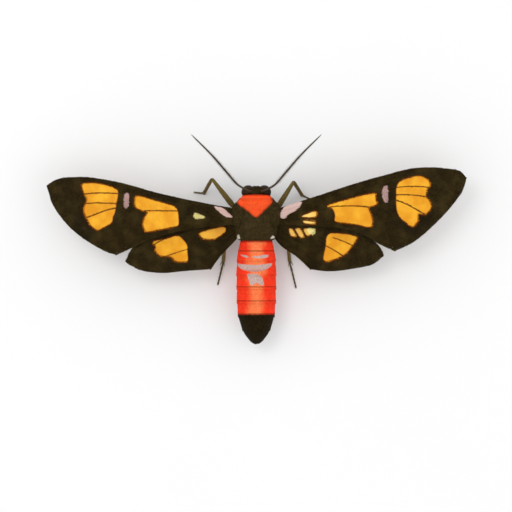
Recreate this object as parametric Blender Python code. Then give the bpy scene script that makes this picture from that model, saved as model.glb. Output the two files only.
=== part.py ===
"""A wasp moth, the spotted clearwing, life size and still, standing on its six feet with its wings spread flat.

The moth looks towards +Y, its right side is +X and +Z is up. The floor is z = 0, and the origin is on the floor under
the middle of the wings. Sizes below are millimetres of the real insect. closed_mesh() turns them into metres.
"""

import math

import bpy
import bmesh
import numpy as np

MM = 0.001
SIDES = (("left", -1), ("right", 1))

# Gap kept between pieces that touch, and the thickness that stands for the wing's membrane
GAP = 0.3
MEMBRANE = 0.5
VEIN_RISE = 0.12
WELD = 0.01

# Heights of the body's axis above the floor
THORAX_AXIS_Z = 4.8
HEAD_AXIS_Z = 4.6
ABDOMEN_DROOP = 0.085

# Where one stretch of the body ends and the next begins
HEAD_BACK_Y = 5.45
THORAX_FRONT_Y = HEAD_BACK_Y - GAP
THORAX_BACK_Y = 0.15
ABDOMEN_FRONT_Y = THORAX_BACK_Y - GAP
DARK_TIP_Y = -9.3
TAIL_Y = -12.9
SEGMENT = 1.73

# Outlines of the body from above, as distance along the body and half its width
HEAD_OUTLINE = ((HEAD_BACK_Y, 0.95), (5.75, 1.12), (6.1, 1.05), (6.4, 0.78), (6.58, 0.3))
THORAX_OUTLINE = (
    (THORAX_BACK_Y, 2.35), (0.6, 2.62), (1.8, 2.86), (3.0, 2.92), (4.0, 2.78), (4.7, 2.48), (THORAX_FRONT_Y, 1.95),
)
ABDOMEN_OUTLINE = (
    (TAIL_Y, 0.1), (-12.6, 0.8), (-12.2, 1.2), (-11.5, 1.7), (-10.7, 2.0), (-9.7, 2.32), (-8.35, 2.48), (-5.6, 2.56),
    (-2.8, 2.52), (-1.2, 2.35), (ABDOMEN_FRONT_Y, 2.1),
)
HEAD_DEPTH = 0.98
THORAX_DEPTH = 0.84
ABDOMEN_DEPTH = 0.88
SEGMENT_STEP = 0.07

# The scale that covers each wing's root, and the red collar, a wedge that points back from the neck
TEGULA_CENTRE = (2.3, 3.15, 6.0)
TEGULA_RADII = (0.85, 1.75, 0.55)
COLLAR_HALF_WIDTH = 2.3
COLLAR_BACK_Y = 2.8
COLLAR_FLOOR_Z = 5.3

# Head fittings
EYE_CENTRE = (1.0, 5.92, 4.6)
EYE_RADIUS = 0.85
PALP_PATH = ((0.55, 5.9, 3.8), (0.68, 6.25, 3.35), (0.64, 6.62, 3.5), (0.6, 6.8, 3.95))
PALP_RADII = (0.3, 0.34, 0.3, 0.14)
TONGUE_CENTRE = (0.0, 6.15, 3.05)
TONGUE_RADIUS = 0.6
TONGUE_THICKNESS = 0.4
ANTENNA_PATH = ((0.5, 5.85, 4.9), (0.78, 5.95, 5.6), (2.23, 6.73, 6.1), (3.49, 8.11, 6.5), (5.3, 10.2, 6.95), (8.0, 12.9, 7.4))
ANTENNA_RADII = (0.32, 0.3, 0.26, 0.27, 0.25, 0.12)

# Legs, as places from hip to toe. The last two lie on the floor, and the radii are of each length's two ends
FLOOR_TOUCH_Z = 0.2
LEG_RADII = ((0.5, 0.42), (0.4, 0.27), (0.27, 0.25), (0.25, 0.25))
LEGS = {
    "leg_fore_left": ((1.0, 3.6, 3.2), (2.4, 3.6, 2.3), (5.5, 7.55, 4.6), (6.6, 5.9), (7.8, 6.0)),
    "leg_fore_right": ((1.0, 3.6, 3.2), (2.4, 3.6, 2.3), (4.65, 7.2, 4.6), (5.75, 5.65), (6.95, 5.1)),
    "leg_mid_left": ((1.0, 2.1, 3.0), (2.4, 1.95, 2.1), (5.0, 2.6, 4.1), (7.4, 1.2), (9.4, 0.4)),
    "leg_mid_right": ((1.0, 2.1, 3.0), (2.4, 1.95, 2.1), (5.0, 2.6, 4.1), (7.4, 1.2), (9.4, 0.4)),
    "leg_hind_left": ((0.9, 0.95, 3.0), (2.1, 0.55, 2.1), (3.8, 1.2, 3.9), (4.15, -2.7), (4.85, -5.6)),
    "leg_hind_right": ((0.9, 0.95, 3.0), (2.1, 0.55, 2.1), (3.8, 1.2, 3.9), (4.2, -2.7), (5.0, -6.0)),
}
SPUR_LENGTH = 0.9
SPUR_RADIUS = 0.16
SPUR_TIP_RADIUS = 0.06
SPUR_SETBACK = 0.14
SPUR_SPREAD = 0.4
SPUR_LIFT = -0.1

# Wings: heights at the root, the arch from root to tip and the droop behind the leading edge
FOREWING_ROOT_Z = 6.0
HINDWING_ROOT_Z = FOREWING_ROOT_Z - 1.15
HALF_SPAN = 26.0
ARCH = (2.0, -1.7)
CAMBER = 0.012
CREST_Y = 3.5
CREST_SWEEP = 0.1

# Wing outlines from above, root outwards along the leading edge, round the outer edge, and back along the inner one
WING_OUTLINES = {
    "forewing_left": {
        "costa": ((2.0, 3.7), (6.4, 4.5), (12.0, 5.7), (17.2, 7.1), (21.8, 7.7), (24.6, 7.4), (26.0, 6.6)),
        "termen": ((26.0, 6.6), (25.2, 4.4), (23.3, 1.8), (19.9, -0.7), (18.2, -1.5), (17.2, -1.7)),
        "inner": ((2.0, 1.9), (6.5, 1.6), (10.2, 1.0), (13.0, 0.2), (15.6, -1.0), (17.2, -1.7)),
    },
    "forewing_right": {
        "costa": ((2.0, 3.6), (7.6, 5.4), (12.2, 6.9), (16.1, 8.0), (19.5, 8.8), (23.0, 8.8), (25.3, 8.3), (26.0, 7.5)),
        "termen": ((26.0, 7.5), (25.7, 6.4), (24.5, 4.6), (22.1, 2.0), (19.1, -0.4), (17.0, -1.3)),
        "inner": ((2.0, 1.9), (6.0, 1.8), (10.4, 1.5), (13.1, 0.7), (15.2, -0.5), (17.0, -1.3)),
    },
    "hindwing_left": {
        "costa": ((1.8, 2.7), (6.0, 2.5), (10.5, 1.6), (14.0, 0.2), (15.4, -1.1), (16.3, -2.8)),
        "termen": ((16.3, -2.8), (14.6, -3.7), (12.2, -4.05), (8.7, -3.75), (5.6, -3.5)),
        "inner": ((1.8, 1.0), (2.7, -0.1), (4.4, -1.9), (5.6, -3.5)),
    },
    "hindwing_right": {
        "costa": ((1.8, 2.7), (6.0, 2.5), (10.5, 1.9), (13.5, 0.6), (15.3, -0.9), (15.85, -2.0)),
        "termen": ((15.85, -2.0), (14.6, -2.95), (12.2, -3.5), (9.0, -3.8), (6.7, -3.5)),
        "inner": ((1.8, 1.0), (3.0, -0.6), (5.0, -2.0), (6.7, -3.5)),
    },
}

# Each vein's place across the wing, 0 at the leading edge and 1 at the inner one, at the stations from root to outer
# edge, then how far out along the wing it starts
VEIN_STATIONS = (0.0, 0.35, 0.62, 0.85, 1.0)
WING_VEINS = {
    "forewing_left": (
        ((0.15, 0.08, 0.03, 0.03, 0.03), 0.0),
        ((0.3, 0.16, 0.065, 0.055, 0.06), 0.0),
        ((0.36, 0.25, 0.165, 0.197, 0.21), 0.62),
        ((0.4, 0.29, 0.335, 0.302, 0.31), 0.62),
        ((0.44, 0.32, 0.36, 0.455, 0.49), 0.62),
        ((0.5, 0.376, 0.454, 0.69, 0.74), 0.0),
        ((0.6, 0.5, 0.75, 0.8, 0.83), 0.68),
        ((0.82, 0.86, 0.89, 0.91, 0.93), 0.0),
    ),
    "forewing_right": (
        ((0.15, 0.1, 0.05, 0.04, 0.04), 0.0),
        ((0.34, 0.27, 0.11, 0.07, 0.07), 0.0),
        ((0.38, 0.33, 0.236, 0.219, 0.21), 0.62),
        ((0.42, 0.37, 0.352, 0.329, 0.33), 0.62),
        ((0.46, 0.4, 0.382, 0.489, 0.56), 0.64),
        ((0.5, 0.437, 0.553, 0.72, 0.76), 0.0),
        ((0.6, 0.57, 0.7, 0.81, 0.84), 0.7),
        ((0.66, 0.89, 0.91, 0.92, 0.93), 0.0),
    ),
    "hindwing_left": (
        ((0.18, 0.12, 0.07, 0.05, 0.05), 0.0),
        ((0.3, 0.22, 0.155, 0.15, 0.14), 0.0),
        ((0.5, 0.5, 0.6, 0.36, 0.3), 0.55),
        ((0.68, 0.7, 0.72, 0.73, 0.74), 0.0),
        ((0.82, 0.85, 0.87, 0.88, 0.89), 0.0),
    ),
    "hindwing_right": (
        ((0.2, 0.12, 0.06, 0.05, 0.05), 0.0),
        ((0.3, 0.33, 0.272, 0.215, 0.19), 0.6),
        ((0.4, 0.45, 0.5, 0.46, 0.47), 0.62),
        ((0.62, 0.66, 0.74, 0.77, 0.78), 0.0),
        ((0.82, 0.84, 0.87, 0.89, 0.9), 0.0),
    ),
}
VEIN_HALF_WIDTH = 0.022
VEIN_FADE = 0.06
FOREWING_ROWS = 21
HINDWING_ROWS = 15

# Colours of the finishes, from the drawing, as linear values
COLOURS = {
    "ground": (0.022, 0.015, 0.006),
    "collar": (0.94, 0.09, 0.02),
    "abdomen": (0.85, 0.1, 0.03),
    "dark_tip": (0.018, 0.01, 0.003),
    "eye": (0.012, 0.01, 0.01),
    "leg": (0.16, 0.12, 0.05),
    "feeler": (0.03, 0.022, 0.012),
}


def clear_scene():
    for obj in list(bpy.data.objects):
        bpy.data.objects.remove(obj)


def smooth_curve(points, at):
    """Points at the fractions `at` of a smooth curve through the given points, by cubic pieces from chord to chord."""
    given = np.array(points, float)
    steps = np.linalg.norm(np.diff(given, axis=0), axis=1)
    knots = np.concatenate([[0.0], np.cumsum(steps)]) / steps.sum()
    slopes = np.gradient(given, knots, axis=0)
    piece = np.clip(np.searchsorted(knots, at, side="right") - 1, 0, len(given) - 2)
    span = knots[piece + 1] - knots[piece]
    s = ((at - knots[piece]) / span)[..., None]
    rise = span[..., None]
    return (
        (2 * s**3 - 3 * s**2 + 1) * given[piece]
        + (s**3 - 2 * s**2 + s) * slopes[piece] * rise
        + (3 * s**2 - 2 * s**3) * given[piece + 1]
        + (s**3 - s**2) * slopes[piece + 1] * rise
    )


def material(name, colour, roughness):
    made = bpy.data.materials.new(name)
    made.use_nodes = True
    shader = made.node_tree.nodes["Principled BSDF"]
    shader.inputs["Base Color"].default_value = (*colour, 1.0)
    shader.inputs["Roughness"].default_value = roughness
    shader.inputs["Metallic"].default_value = 0.0
    return made


def closed_mesh(name, points, faces):
    """A new object from points in millimetres, its faces turned outwards."""
    mesh = bpy.data.meshes.new(name)
    mesh.from_pydata([tuple(p) for p in np.asarray(points) * MM], [], [tuple(f) for f in faces])
    built = bmesh.new()
    built.from_mesh(mesh)
    bmesh.ops.recalc_face_normals(built, faces=built.faces)
    built.to_mesh(mesh)
    built.free()
    obj = bpy.data.objects.new(name, mesh)
    bpy.context.scene.collection.objects.link(obj)
    return obj


def finish(obj, colour, roughness=0.6, sharp_deg=40):
    """Gives a finished node its material and its smooth shading."""
    obj.data.materials.clear()
    obj.data.materials.append(material(obj.name + "_finish", COLOURS[colour], roughness))
    obj.data.shade_smooth()
    obj.data.set_sharp_from_angle(angle=math.radians(sharp_deg))


def apply_modifiers(obj):
    graph = bpy.context.evaluated_depsgraph_get()
    mesh = bpy.data.meshes.new_from_object(obj.evaluated_get(graph))
    obj.modifiers.clear()
    obj.data = mesh


def combine(obj, others, operation):
    """One Boolean of the object with all the others, applied, after which the others are gone."""
    tools = bpy.data.collections.new(obj.name + "_tools")
    bpy.context.scene.collection.children.link(tools)
    for other in others:
        bpy.context.scene.collection.objects.unlink(other)
        tools.objects.link(other)
    modifier = obj.modifiers.new(operation.lower(), "BOOLEAN")
    modifier.operation = operation
    modifier.operand_type = "COLLECTION"
    modifier.collection = tools
    apply_modifiers(obj)
    for other in others:
        bpy.data.objects.remove(other)
    bpy.data.collections.remove(tools)
    keep_largest(obj)
    return obj


def keep_largest(obj):
    """Drops every closed surface of the object but the one that holds most."""
    built = bmesh.new()
    built.from_mesh(obj.data)
    left = set(built.faces)
    islands = []
    while left:
        island = [left.pop()]
        for face in island:
            for edge in face.edges:
                for other in edge.link_faces:
                    if other in left:
                        left.remove(other)
                        island.append(other)
        islands.append(island)
    islands.sort(key=lambda island: sum(face.calc_area() for face in island))
    scraps = [face for island in islands[:-1] for face in island]
    bmesh.ops.delete(built, geom=scraps, context="FACES")
    built.to_mesh(obj.data)
    built.free()


def ring_faces(rings, sides):
    """The faces of a closed loft: quads between rings laid one after another, and a flat cap at each end."""
    faces = []
    for ring in range(rings - 1):
        for side in range(sides):
            across = (side + 1) % sides
            faces.append((ring * sides + side, ring * sides + across,
                          (ring + 1) * sides + across, (ring + 1) * sides + side))
    faces.append(tuple(range(sides)))
    faces.append(tuple((rings - 1) * sides + side for side in reversed(range(sides))))
    return faces


def body_loft(name, along, half_widths, depth, axis_z, sides):
    """A stretch of body: an upright ellipse at each place along it, `depth` times as high as it is wide."""
    turn = np.linspace(0, 2 * math.pi, sides, endpoint=False)
    x = half_widths[:, None] * np.cos(turn)
    z = axis_z[:, None] + depth * half_widths[:, None] * np.sin(turn)
    y = np.repeat(along[:, None], sides, axis=1)
    points = np.stack([x, y, z], axis=-1).reshape(-1, 3)
    return closed_mesh(name, points, ring_faces(len(along), sides))


def outline_width(outline, along):
    """Half the body's width at each place, read off the smooth curve through its outline."""
    dense = smooth_curve(outline, np.linspace(0, 1, 400))
    order = np.argsort(dense[:, 0])
    return np.interp(along, dense[order, 0], dense[order, 1])


def ellipsoid(name, centre, radii, u_segments, v_segments):
    built = bmesh.new()
    bmesh.ops.create_uvsphere(built, u_segments=u_segments, v_segments=v_segments, radius=1.0)
    mesh = bpy.data.meshes.new(name)
    for vertex in built.verts:
        vertex.co = [(c + r * value) * MM for c, r, value in zip(centre, radii, vertex.co)]
    built.to_mesh(mesh)
    built.free()
    obj = bpy.data.objects.new(name, mesh)
    bpy.context.scene.collection.objects.link(obj)
    return obj


def tube(name, path, radii, resolution=2):
    """A round tube of changing radius along a path, from a curve with a bevel and filled ends."""
    data = bpy.data.curves.new(name, "CURVE")
    data.dimensions = "3D"
    data.bevel_depth = MM
    data.bevel_resolution = resolution
    data.use_fill_caps = True
    spline = data.splines.new("POLY")
    spline.points.add(len(path) - 1)
    for point, place, radius in zip(spline.points, path, radii):
        point.co = (*[value * MM for value in place], 1.0)
        point.radius = radius
    guide = bpy.data.objects.new(name + "_guide", data)
    bpy.context.scene.collection.objects.link(guide)
    mesh = bpy.data.meshes.new_from_object(guide.evaluated_get(bpy.context.evaluated_depsgraph_get()))
    mesh.name = name
    bpy.data.objects.remove(guide)
    built = bmesh.new()
    built.from_mesh(mesh)
    bmesh.ops.remove_doubles(built, verts=built.verts, dist=WELD * MM)
    bmesh.ops.recalc_face_normals(built, faces=built.faces)
    built.to_mesh(mesh)
    built.free()
    obj = bpy.data.objects.new(name, mesh)
    bpy.context.scene.collection.objects.link(obj)
    return obj


def box(name, low, high):
    corners = [(x, y, z) for x in (low[0], high[0]) for y in (low[1], high[1]) for z in (low[2], high[2])]
    faces = ((0, 1, 3, 2), (4, 6, 7, 5), (0, 4, 5, 1), (2, 3, 7, 6), (0, 2, 6, 4), (1, 5, 7, 3))
    return closed_mesh(name, corners, faces)


def mirrored(points, side):
    """Places given for the right side, moved over to the side asked for."""
    return [(side * p[0], *p[1:]) for p in points]


def head_loft(name, extra=0.0):
    along = np.array([HEAD_BACK_Y, 5.6, 5.8, 6.0, 6.2, 6.35, 6.47, 6.58])
    half_widths = outline_width(HEAD_OUTLINE, along) + extra
    along = along + np.where(along >= along[-1], extra, 0.0)
    along[0] -= extra
    return body_loft(name, along, half_widths, HEAD_DEPTH, np.full(len(along), HEAD_AXIS_Z), 24)


def thorax_shapes(extra=0.0):
    """The trunk and the two tegulae as closed shapes, each grown by `extra` all round."""
    along = np.linspace(THORAX_BACK_Y, THORAX_FRONT_Y, 15)
    half_widths = outline_width(THORAX_OUTLINE, along) + extra
    along = along + extra * np.linspace(-1, 1, len(along))
    trunk = body_loft("thorax", along, half_widths, THORAX_DEPTH, np.full(len(along), THORAX_AXIS_Z), 32)
    lobes = []
    for side_name, side in SIDES:
        centre = (side * TEGULA_CENTRE[0], *TEGULA_CENTRE[1:])
        radii = [radius + extra for radius in TEGULA_RADII]
        lobes.append(ellipsoid("tegula_" + side_name, centre, radii, 16, 10))
    return [trunk, *lobes]


def collar_wedge(name, extra=0.0):
    """An upright prism over the collar's triangle, from inside the thorax to well above it."""
    front = THORAX_FRONT_Y + 1.0
    slope = COLLAR_HALF_WIDTH / (THORAX_FRONT_Y - COLLAR_BACK_Y)
    wide = slope * (front - COLLAR_BACK_Y)
    widen = extra * math.hypot(1.0, slope)
    plan = ((-wide - widen, front), (wide + widen, front), (0.0, COLLAR_BACK_Y - widen / slope))
    low = COLLAR_FLOOR_Z - extra
    high = THORAX_AXIS_Z + 4.0
    points = [(*p, low) for p in plan] + [(*p, high) for p in plan]
    faces = ((0, 2, 1), (3, 4, 5), (0, 1, 4, 3), (1, 2, 5, 4), (2, 0, 3, 5))
    return closed_mesh(name, points, faces)


def make_thorax_and_collar():
    trunk, *lobes = thorax_shapes()
    thorax = combine(trunk, lobes, "UNION")
    combine(thorax, [collar_wedge("collar_cutter", GAP)], "DIFFERENCE")
    finish(thorax, "ground")
    collar, *spare = thorax_shapes()
    for lobe in spare:
        bpy.data.objects.remove(lobe)
    collar.name = "collar"
    combine(collar, [collar_wedge("collar_plan")], "INTERSECT")
    finish(collar, "collar")


def make_head():
    finish(head_loft("head"), "ground")
    for side_name, side in SIDES:
        centre = (side * EYE_CENTRE[0], *EYE_CENTRE[1:])
        eye = ellipsoid("eye_" + side_name, centre, (EYE_RADIUS,) * 3, 16, 12)
        combine(eye, [head_loft("head_cutter", GAP), *thorax_shapes(GAP)], "DIFFERENCE")
        finish(eye, "eye", roughness=0.2)


def make_palps_and_tongue():
    for side_name, side in SIDES:
        joints = mirrored(PALP_PATH, side)
        palp, *others = [
            limb(f"palp_{n}", joints[n], joints[n + 1], PALP_RADII[n], PALP_RADII[n + 1], sides=10) for n in range(3)
        ]
        palp.name = "palp_" + side_name
        combine(palp, others, "UNION")
        combine(palp, [head_loft("head_cutter", GAP)], "DIFFERENCE")
        finish(palp, "feeler")
    turn = np.linspace(0, 2 * math.pi, 16, endpoint=False)
    rings = []
    for offset, share in ((-0.5, 0.8), (-0.25, 1.0), (0.25, 1.0), (0.5, 0.8)):
        x = np.full(len(turn), TONGUE_CENTRE[0] + offset * TONGUE_THICKNESS)
        y = TONGUE_CENTRE[1] + share * TONGUE_RADIUS * np.cos(turn)
        z = TONGUE_CENTRE[2] + share * TONGUE_RADIUS * np.sin(turn)
        rings.append(np.stack([x, y, z], axis=-1))
    tongue = closed_mesh("proboscis", np.concatenate(rings), ring_faces(len(rings), len(turn)))
    combine(tongue, [head_loft("head_cutter", GAP)], "DIFFERENCE")
    finish(tongue, "feeler")


def make_antennae():
    for side_name, side in SIDES:
        fractions = np.linspace(0, 1, 30)
        path = smooth_curve(mirrored(ANTENNA_PATH, side), fractions)
        chords = np.linalg.norm(np.diff(np.array(ANTENNA_PATH), axis=0), axis=1)
        knots = np.concatenate([[0.0], np.cumsum(chords)]) / chords.sum()
        radii = np.interp(fractions, knots, ANTENNA_RADII)
        antenna = tube("antenna_" + side_name, path, radii, resolution=1)
        eye = ellipsoid("eye_cutter", (side * EYE_CENTRE[0], *EYE_CENTRE[1:]), (EYE_RADIUS + GAP,) * 3, 16, 12)
        combine(antenna, [head_loft("head_cutter", GAP), eye], "DIFFERENCE")
        finish(antenna, "feeler")


def segment_ridges(along):
    """How far each tergite stands out: highest at its back edge, stepping in where the next one starts under it."""
    place = np.mod((DARK_TIP_Y - along) / SEGMENT, 1.0)
    return SEGMENT_STEP * (place - 0.5)


def make_abdomen():
    edges = DARK_TIP_Y + SEGMENT * np.arange(0, 6)
    rows = np.concatenate([edges + 0.04, edges - 0.04, edges + 0.45, edges + 0.9, edges + 1.35])
    front = rows[(rows < ABDOMEN_FRONT_Y - 0.1) & (rows > DARK_TIP_Y + GAP / 2 + 0.1)]
    front = np.sort(np.concatenate([[DARK_TIP_Y + GAP / 2], front, [ABDOMEN_FRONT_Y]]))
    tip = np.array([TAIL_Y, -12.8, -12.6, -12.3, -12.0, -11.6, -11.14, -11.06, -10.6, -10.1, -9.75, DARK_TIP_Y - GAP / 2])
    for name, along, colour in (("abdomen", front, "abdomen"), ("abdomen_tip", tip, "dark_tip")):
        half_widths = outline_width(ABDOMEN_OUTLINE, along)
        half_widths = half_widths + segment_ridges(along) * np.minimum(1.0, half_widths)
        axis_z = THORAX_AXIS_Z + ABDOMEN_DROOP * along
        finish(body_loft(name, along, half_widths, ABDOMEN_DEPTH, axis_z, 28), colour)


def limb(name, start, end, start_radius, end_radius, sides=8):
    """A straight tapered length of leg with a round end at each joint: rings along its axis, small over the ends."""
    start, end = np.array(start, float), np.array(end, float)
    length = np.linalg.norm(end - start)
    axis = (end - start) / length
    side = np.cross(axis, (0.0, 0.0, 1.0) if abs(axis[2]) < 0.9 else (1.0, 0.0, 0.0))
    side /= np.linalg.norm(side)
    other = np.cross(axis, side)
    swell = np.array([math.radians(angle) for angle in (75, 35, 0)])
    offsets = np.concatenate([-start_radius * np.sin(swell), length + end_radius * np.sin(swell[::-1])])
    radii = np.concatenate([start_radius * np.cos(swell), end_radius * np.cos(swell[::-1])])
    turn = np.linspace(0, 2 * math.pi, sides, endpoint=False)
    round_axis = side * np.cos(turn)[:, None] + other * np.sin(turn)[:, None]
    rings = start + axis * offsets[:, None, None] + round_axis[None] * radii[:, None, None]
    return closed_mesh(name, rings.reshape(-1, 3), ring_faces(len(offsets), sides))


def make_leg(name, places, side):
    """Hip, thigh, shin and foot fused at the joints, the foot laid flat along the floor, cut clear of the trunk."""
    joints = [*mirrored(places[:3], side), *[(side * x, y, FLOOR_TOUCH_Z) for x, y in places[3:]]]
    lengths = [limb(f"{name}_{n}", joints[n], joints[n + 1], *LEG_RADII[n]) for n in range(len(LEG_RADII))]
    leg, *others = lengths
    leg.name = name
    if "fore" not in name:
        knee, ankle, toe = np.array(joints[2:])
        root = ankle + SPUR_SETBACK * (knee - ankle)
        along = (toe - ankle) / np.linalg.norm(toe - ankle)
        for spread in (-SPUR_SPREAD, SPUR_SPREAD):
            tip = root + SPUR_LENGTH * along + np.array((spread * along[1], -spread * along[0], SPUR_LIFT))
            others.append(limb("spur", root, tip, SPUR_RADIUS, SPUR_TIP_RADIUS, sides=5))
    combine(leg, others, "UNION")
    floor = box("floor_cutter", (-HALF_SPAN, -HALF_SPAN, -1.0), (HALF_SPAN, HALF_SPAN, 0.0))
    combine(leg, [*thorax_shapes(GAP), floor], "DIFFERENCE")
    finish(leg, "leg")


def wing_place(outline, u, v):
    """Plan of the wing: u runs from root to outer edge and v from leading to inner edge, blended between the four."""
    costa = smooth_curve(outline["costa"], u)
    inner = smooth_curve(outline["inner"], u)
    termen = smooth_curve(outline["termen"], v)
    near_costa, near_inner = np.array(outline["costa"][0]), np.array(outline["inner"][0])
    far_costa, far_inner = np.array(outline["costa"][-1]), np.array(outline["inner"][-1])
    u, v = u[..., None], v[..., None]
    root = near_costa + (near_inner - near_costa) * v
    corners = ((1 - u) * ((1 - v) * near_costa + v * near_inner) + u * ((1 - v) * far_costa + v * far_inner))
    return (1 - v) * costa + v * inner + (1 - u) * root + u * termen - corners


def wing_height(x, y, root_z):
    """Height of the wing's middle surface: an arch from root to tip, less the droop behind its crest."""
    out = np.abs(x) / HALF_SPAN
    behind = CREST_Y + CREST_SWEEP * np.abs(x) - y
    return root_z + ARCH[0] * out + ARCH[1] * out**2 - CAMBER * behind**2


def vein_grid(veins, rows):
    """The grid's u and v, with columns on each vein and at its two sides, and how far each point is raised."""
    along = np.linspace(0, 1, rows)
    middles = [np.zeros(rows), *[np.interp(along, VEIN_STATIONS, places) for places, _ in veins], np.ones(rows)]
    columns = [middles[0]]
    rise = [np.ones(rows)]
    for n, (_, start) in enumerate(veins, start=1):
        height = np.clip((along - start) / VEIN_FADE, 0, 1) if start else np.ones(rows)
        before = np.minimum(VEIN_HALF_WIDTH, 0.4 * (middles[n] - middles[n - 1]))
        behind = np.minimum(VEIN_HALF_WIDTH, 0.4 * (middles[n + 1] - middles[n]))
        columns += [middles[n] - before, middles[n], middles[n] + behind]
        rise += [0 * height, height, 0 * height]
    columns.append(middles[-1])
    rise.append(np.ones(rows))
    v = np.stack(columns, axis=1)
    u = np.repeat(along[:, None], v.shape[1], axis=1)
    raised = np.stack(rise, axis=1)
    raised[-1] = 0.5
    raised[0] = 0.5
    return u, v, raised


def make_wing(name, side, root_z, rows):
    """One membrane, both faces cut into the same triangles, its veins and edges raised on both faces."""
    u, v, raised = vein_grid(WING_VEINS[name], rows)
    plan = wing_place(WING_OUTLINES[name], u, v)
    x, y = side * plan[..., 0], plan[..., 1]
    middle = wing_height(x, y, root_z)
    half = MEMBRANE / 2 + VEIN_RISE * raised
    points = np.concatenate([np.stack([x, y, middle + half], axis=-1).reshape(-1, 3),
                             np.stack([x, y, middle - half], axis=-1).reshape(-1, 3)])
    rows_count, columns_count = u.shape
    below = rows_count * columns_count
    index = np.arange(below).reshape(rows_count, columns_count)
    a, b = index[:-1, :-1].ravel(), index[1:, :-1].ravel()
    c, d = index[1:, 1:].ravel(), index[:-1, 1:].ravel()
    top = np.concatenate([np.stack([a, b, c], axis=1), np.stack([a, c, d], axis=1)])
    rim = np.concatenate([index[0, :], index[1:, -1], index[-1, -2::-1], index[-2:0:-1, 0]])
    following = np.roll(rim, -1)
    walls = np.concatenate([np.stack([rim, following, following + below], axis=1),
                            np.stack([rim, following + below, rim + below], axis=1)])
    wing = closed_mesh(name, points, np.concatenate([top, top[:, ::-1] + below, walls]))
    combine(wing, thorax_shapes(GAP), "DIFFERENCE")
    finish(wing, "ground", roughness=0.5)


def make_wings():
    for side_name, side in SIDES:
        make_wing("forewing_" + side_name, side, FOREWING_ROOT_Z, FOREWING_ROWS)
        make_wing("hindwing_" + side_name, side, HINDWING_ROOT_Z, HINDWING_ROWS)


def make_legs():
    for name, places in LEGS.items():
        make_leg(name, places, -1 if name.endswith("left") else 1)


clear_scene()
make_head()
make_palps_and_tongue()
make_antennae()
make_thorax_and_collar()
make_abdomen()
make_wings()
make_legs()
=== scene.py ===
"""Looks of the spotted clearwing, a wasp moth standing with its wings spread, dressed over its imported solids.

Lengths are millimetres of a moth that spans 52, and UNIT turns them into metres by the frame's own span.
The moth looks towards +Y, its right side is +X, and the floor is z = 0.
"""

import math

import bmesh
import bpy
import mathutils
import numpy as np
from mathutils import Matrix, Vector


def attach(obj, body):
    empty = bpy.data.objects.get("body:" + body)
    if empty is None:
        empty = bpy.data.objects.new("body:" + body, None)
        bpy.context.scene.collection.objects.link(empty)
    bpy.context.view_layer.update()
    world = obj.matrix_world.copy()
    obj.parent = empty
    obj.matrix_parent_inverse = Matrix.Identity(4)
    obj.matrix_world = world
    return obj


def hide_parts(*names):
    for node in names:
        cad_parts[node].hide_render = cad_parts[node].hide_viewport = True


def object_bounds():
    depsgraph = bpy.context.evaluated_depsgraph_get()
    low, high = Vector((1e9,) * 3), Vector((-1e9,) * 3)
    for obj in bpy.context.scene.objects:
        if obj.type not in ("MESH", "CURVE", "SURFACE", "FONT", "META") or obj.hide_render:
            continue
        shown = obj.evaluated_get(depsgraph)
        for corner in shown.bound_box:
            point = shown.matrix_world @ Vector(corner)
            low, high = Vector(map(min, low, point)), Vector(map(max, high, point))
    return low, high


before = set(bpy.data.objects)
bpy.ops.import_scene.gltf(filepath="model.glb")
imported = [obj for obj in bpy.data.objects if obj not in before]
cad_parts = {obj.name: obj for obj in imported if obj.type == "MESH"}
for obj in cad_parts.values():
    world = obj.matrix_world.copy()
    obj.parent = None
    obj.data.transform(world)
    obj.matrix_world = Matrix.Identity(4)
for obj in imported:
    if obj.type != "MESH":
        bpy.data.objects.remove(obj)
solid_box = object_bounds()

# The frame's size, and the shared measures of the solids
DRAWN_SPAN = 52.0
UNIT = (solid_box[1].x - solid_box[0].x) / DRAWN_SPAN
HALF_SPAN = DRAWN_SPAN / 2
SIDES = (("left", -1), ("right", 1))
UP = (0.0, 0.0, 1.0)
SEED = 20

# The camera: what a pixel of the drawing measures, and where the moth's origin lies in it
PHOTO_SIDE = 512
MM_PER_PIXEL = 0.12346
MOTH_PIXEL = (256.3, 239.6)
LENS = 150.0
SENSOR = 36.0

# How much brighter the studio is than one in which a white sheet just looks white
LIGHT = 1.3

# Heights of the body's axis above the floor, and places along it
THORAX_AXIS_Z = 4.8
HEAD_AXIS_Z = 4.6
ABDOMEN_DROOP = 0.085
HEAD_Y = 6.0
HEAD_BACK_Y = 5.3
THORAX_FRONT_Y = 4.8
THORAX_BACK_Y = 0.0
BELT_FRONT_Y = -0.15
DARK_TIP_Y = -9.3
TAIL_Y = -12.9
SEGMENT = 1.73
FIRST_SEGMENT_Y = DARK_TIP_Y + 5 * SEGMENT

# Wings: heights at the root, the arch from root to tip and the droop behind the leading edge
FOREWING_ROOT_Z = 6.0
HINDWING_ROOT_Z = 4.85
ARCH = (2.0, -1.7)
CAMBER = 0.012
CREST_Y = 3.5
CREST_SWEEP = 0.1
FRINGE_SHARE = (0.009, 0.03)
MEMBRANE = 0.16
EDGE_ROUND = 0.12
VEIN_WIDTH = 0.11
VEIN_RISE = 0.07

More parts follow.
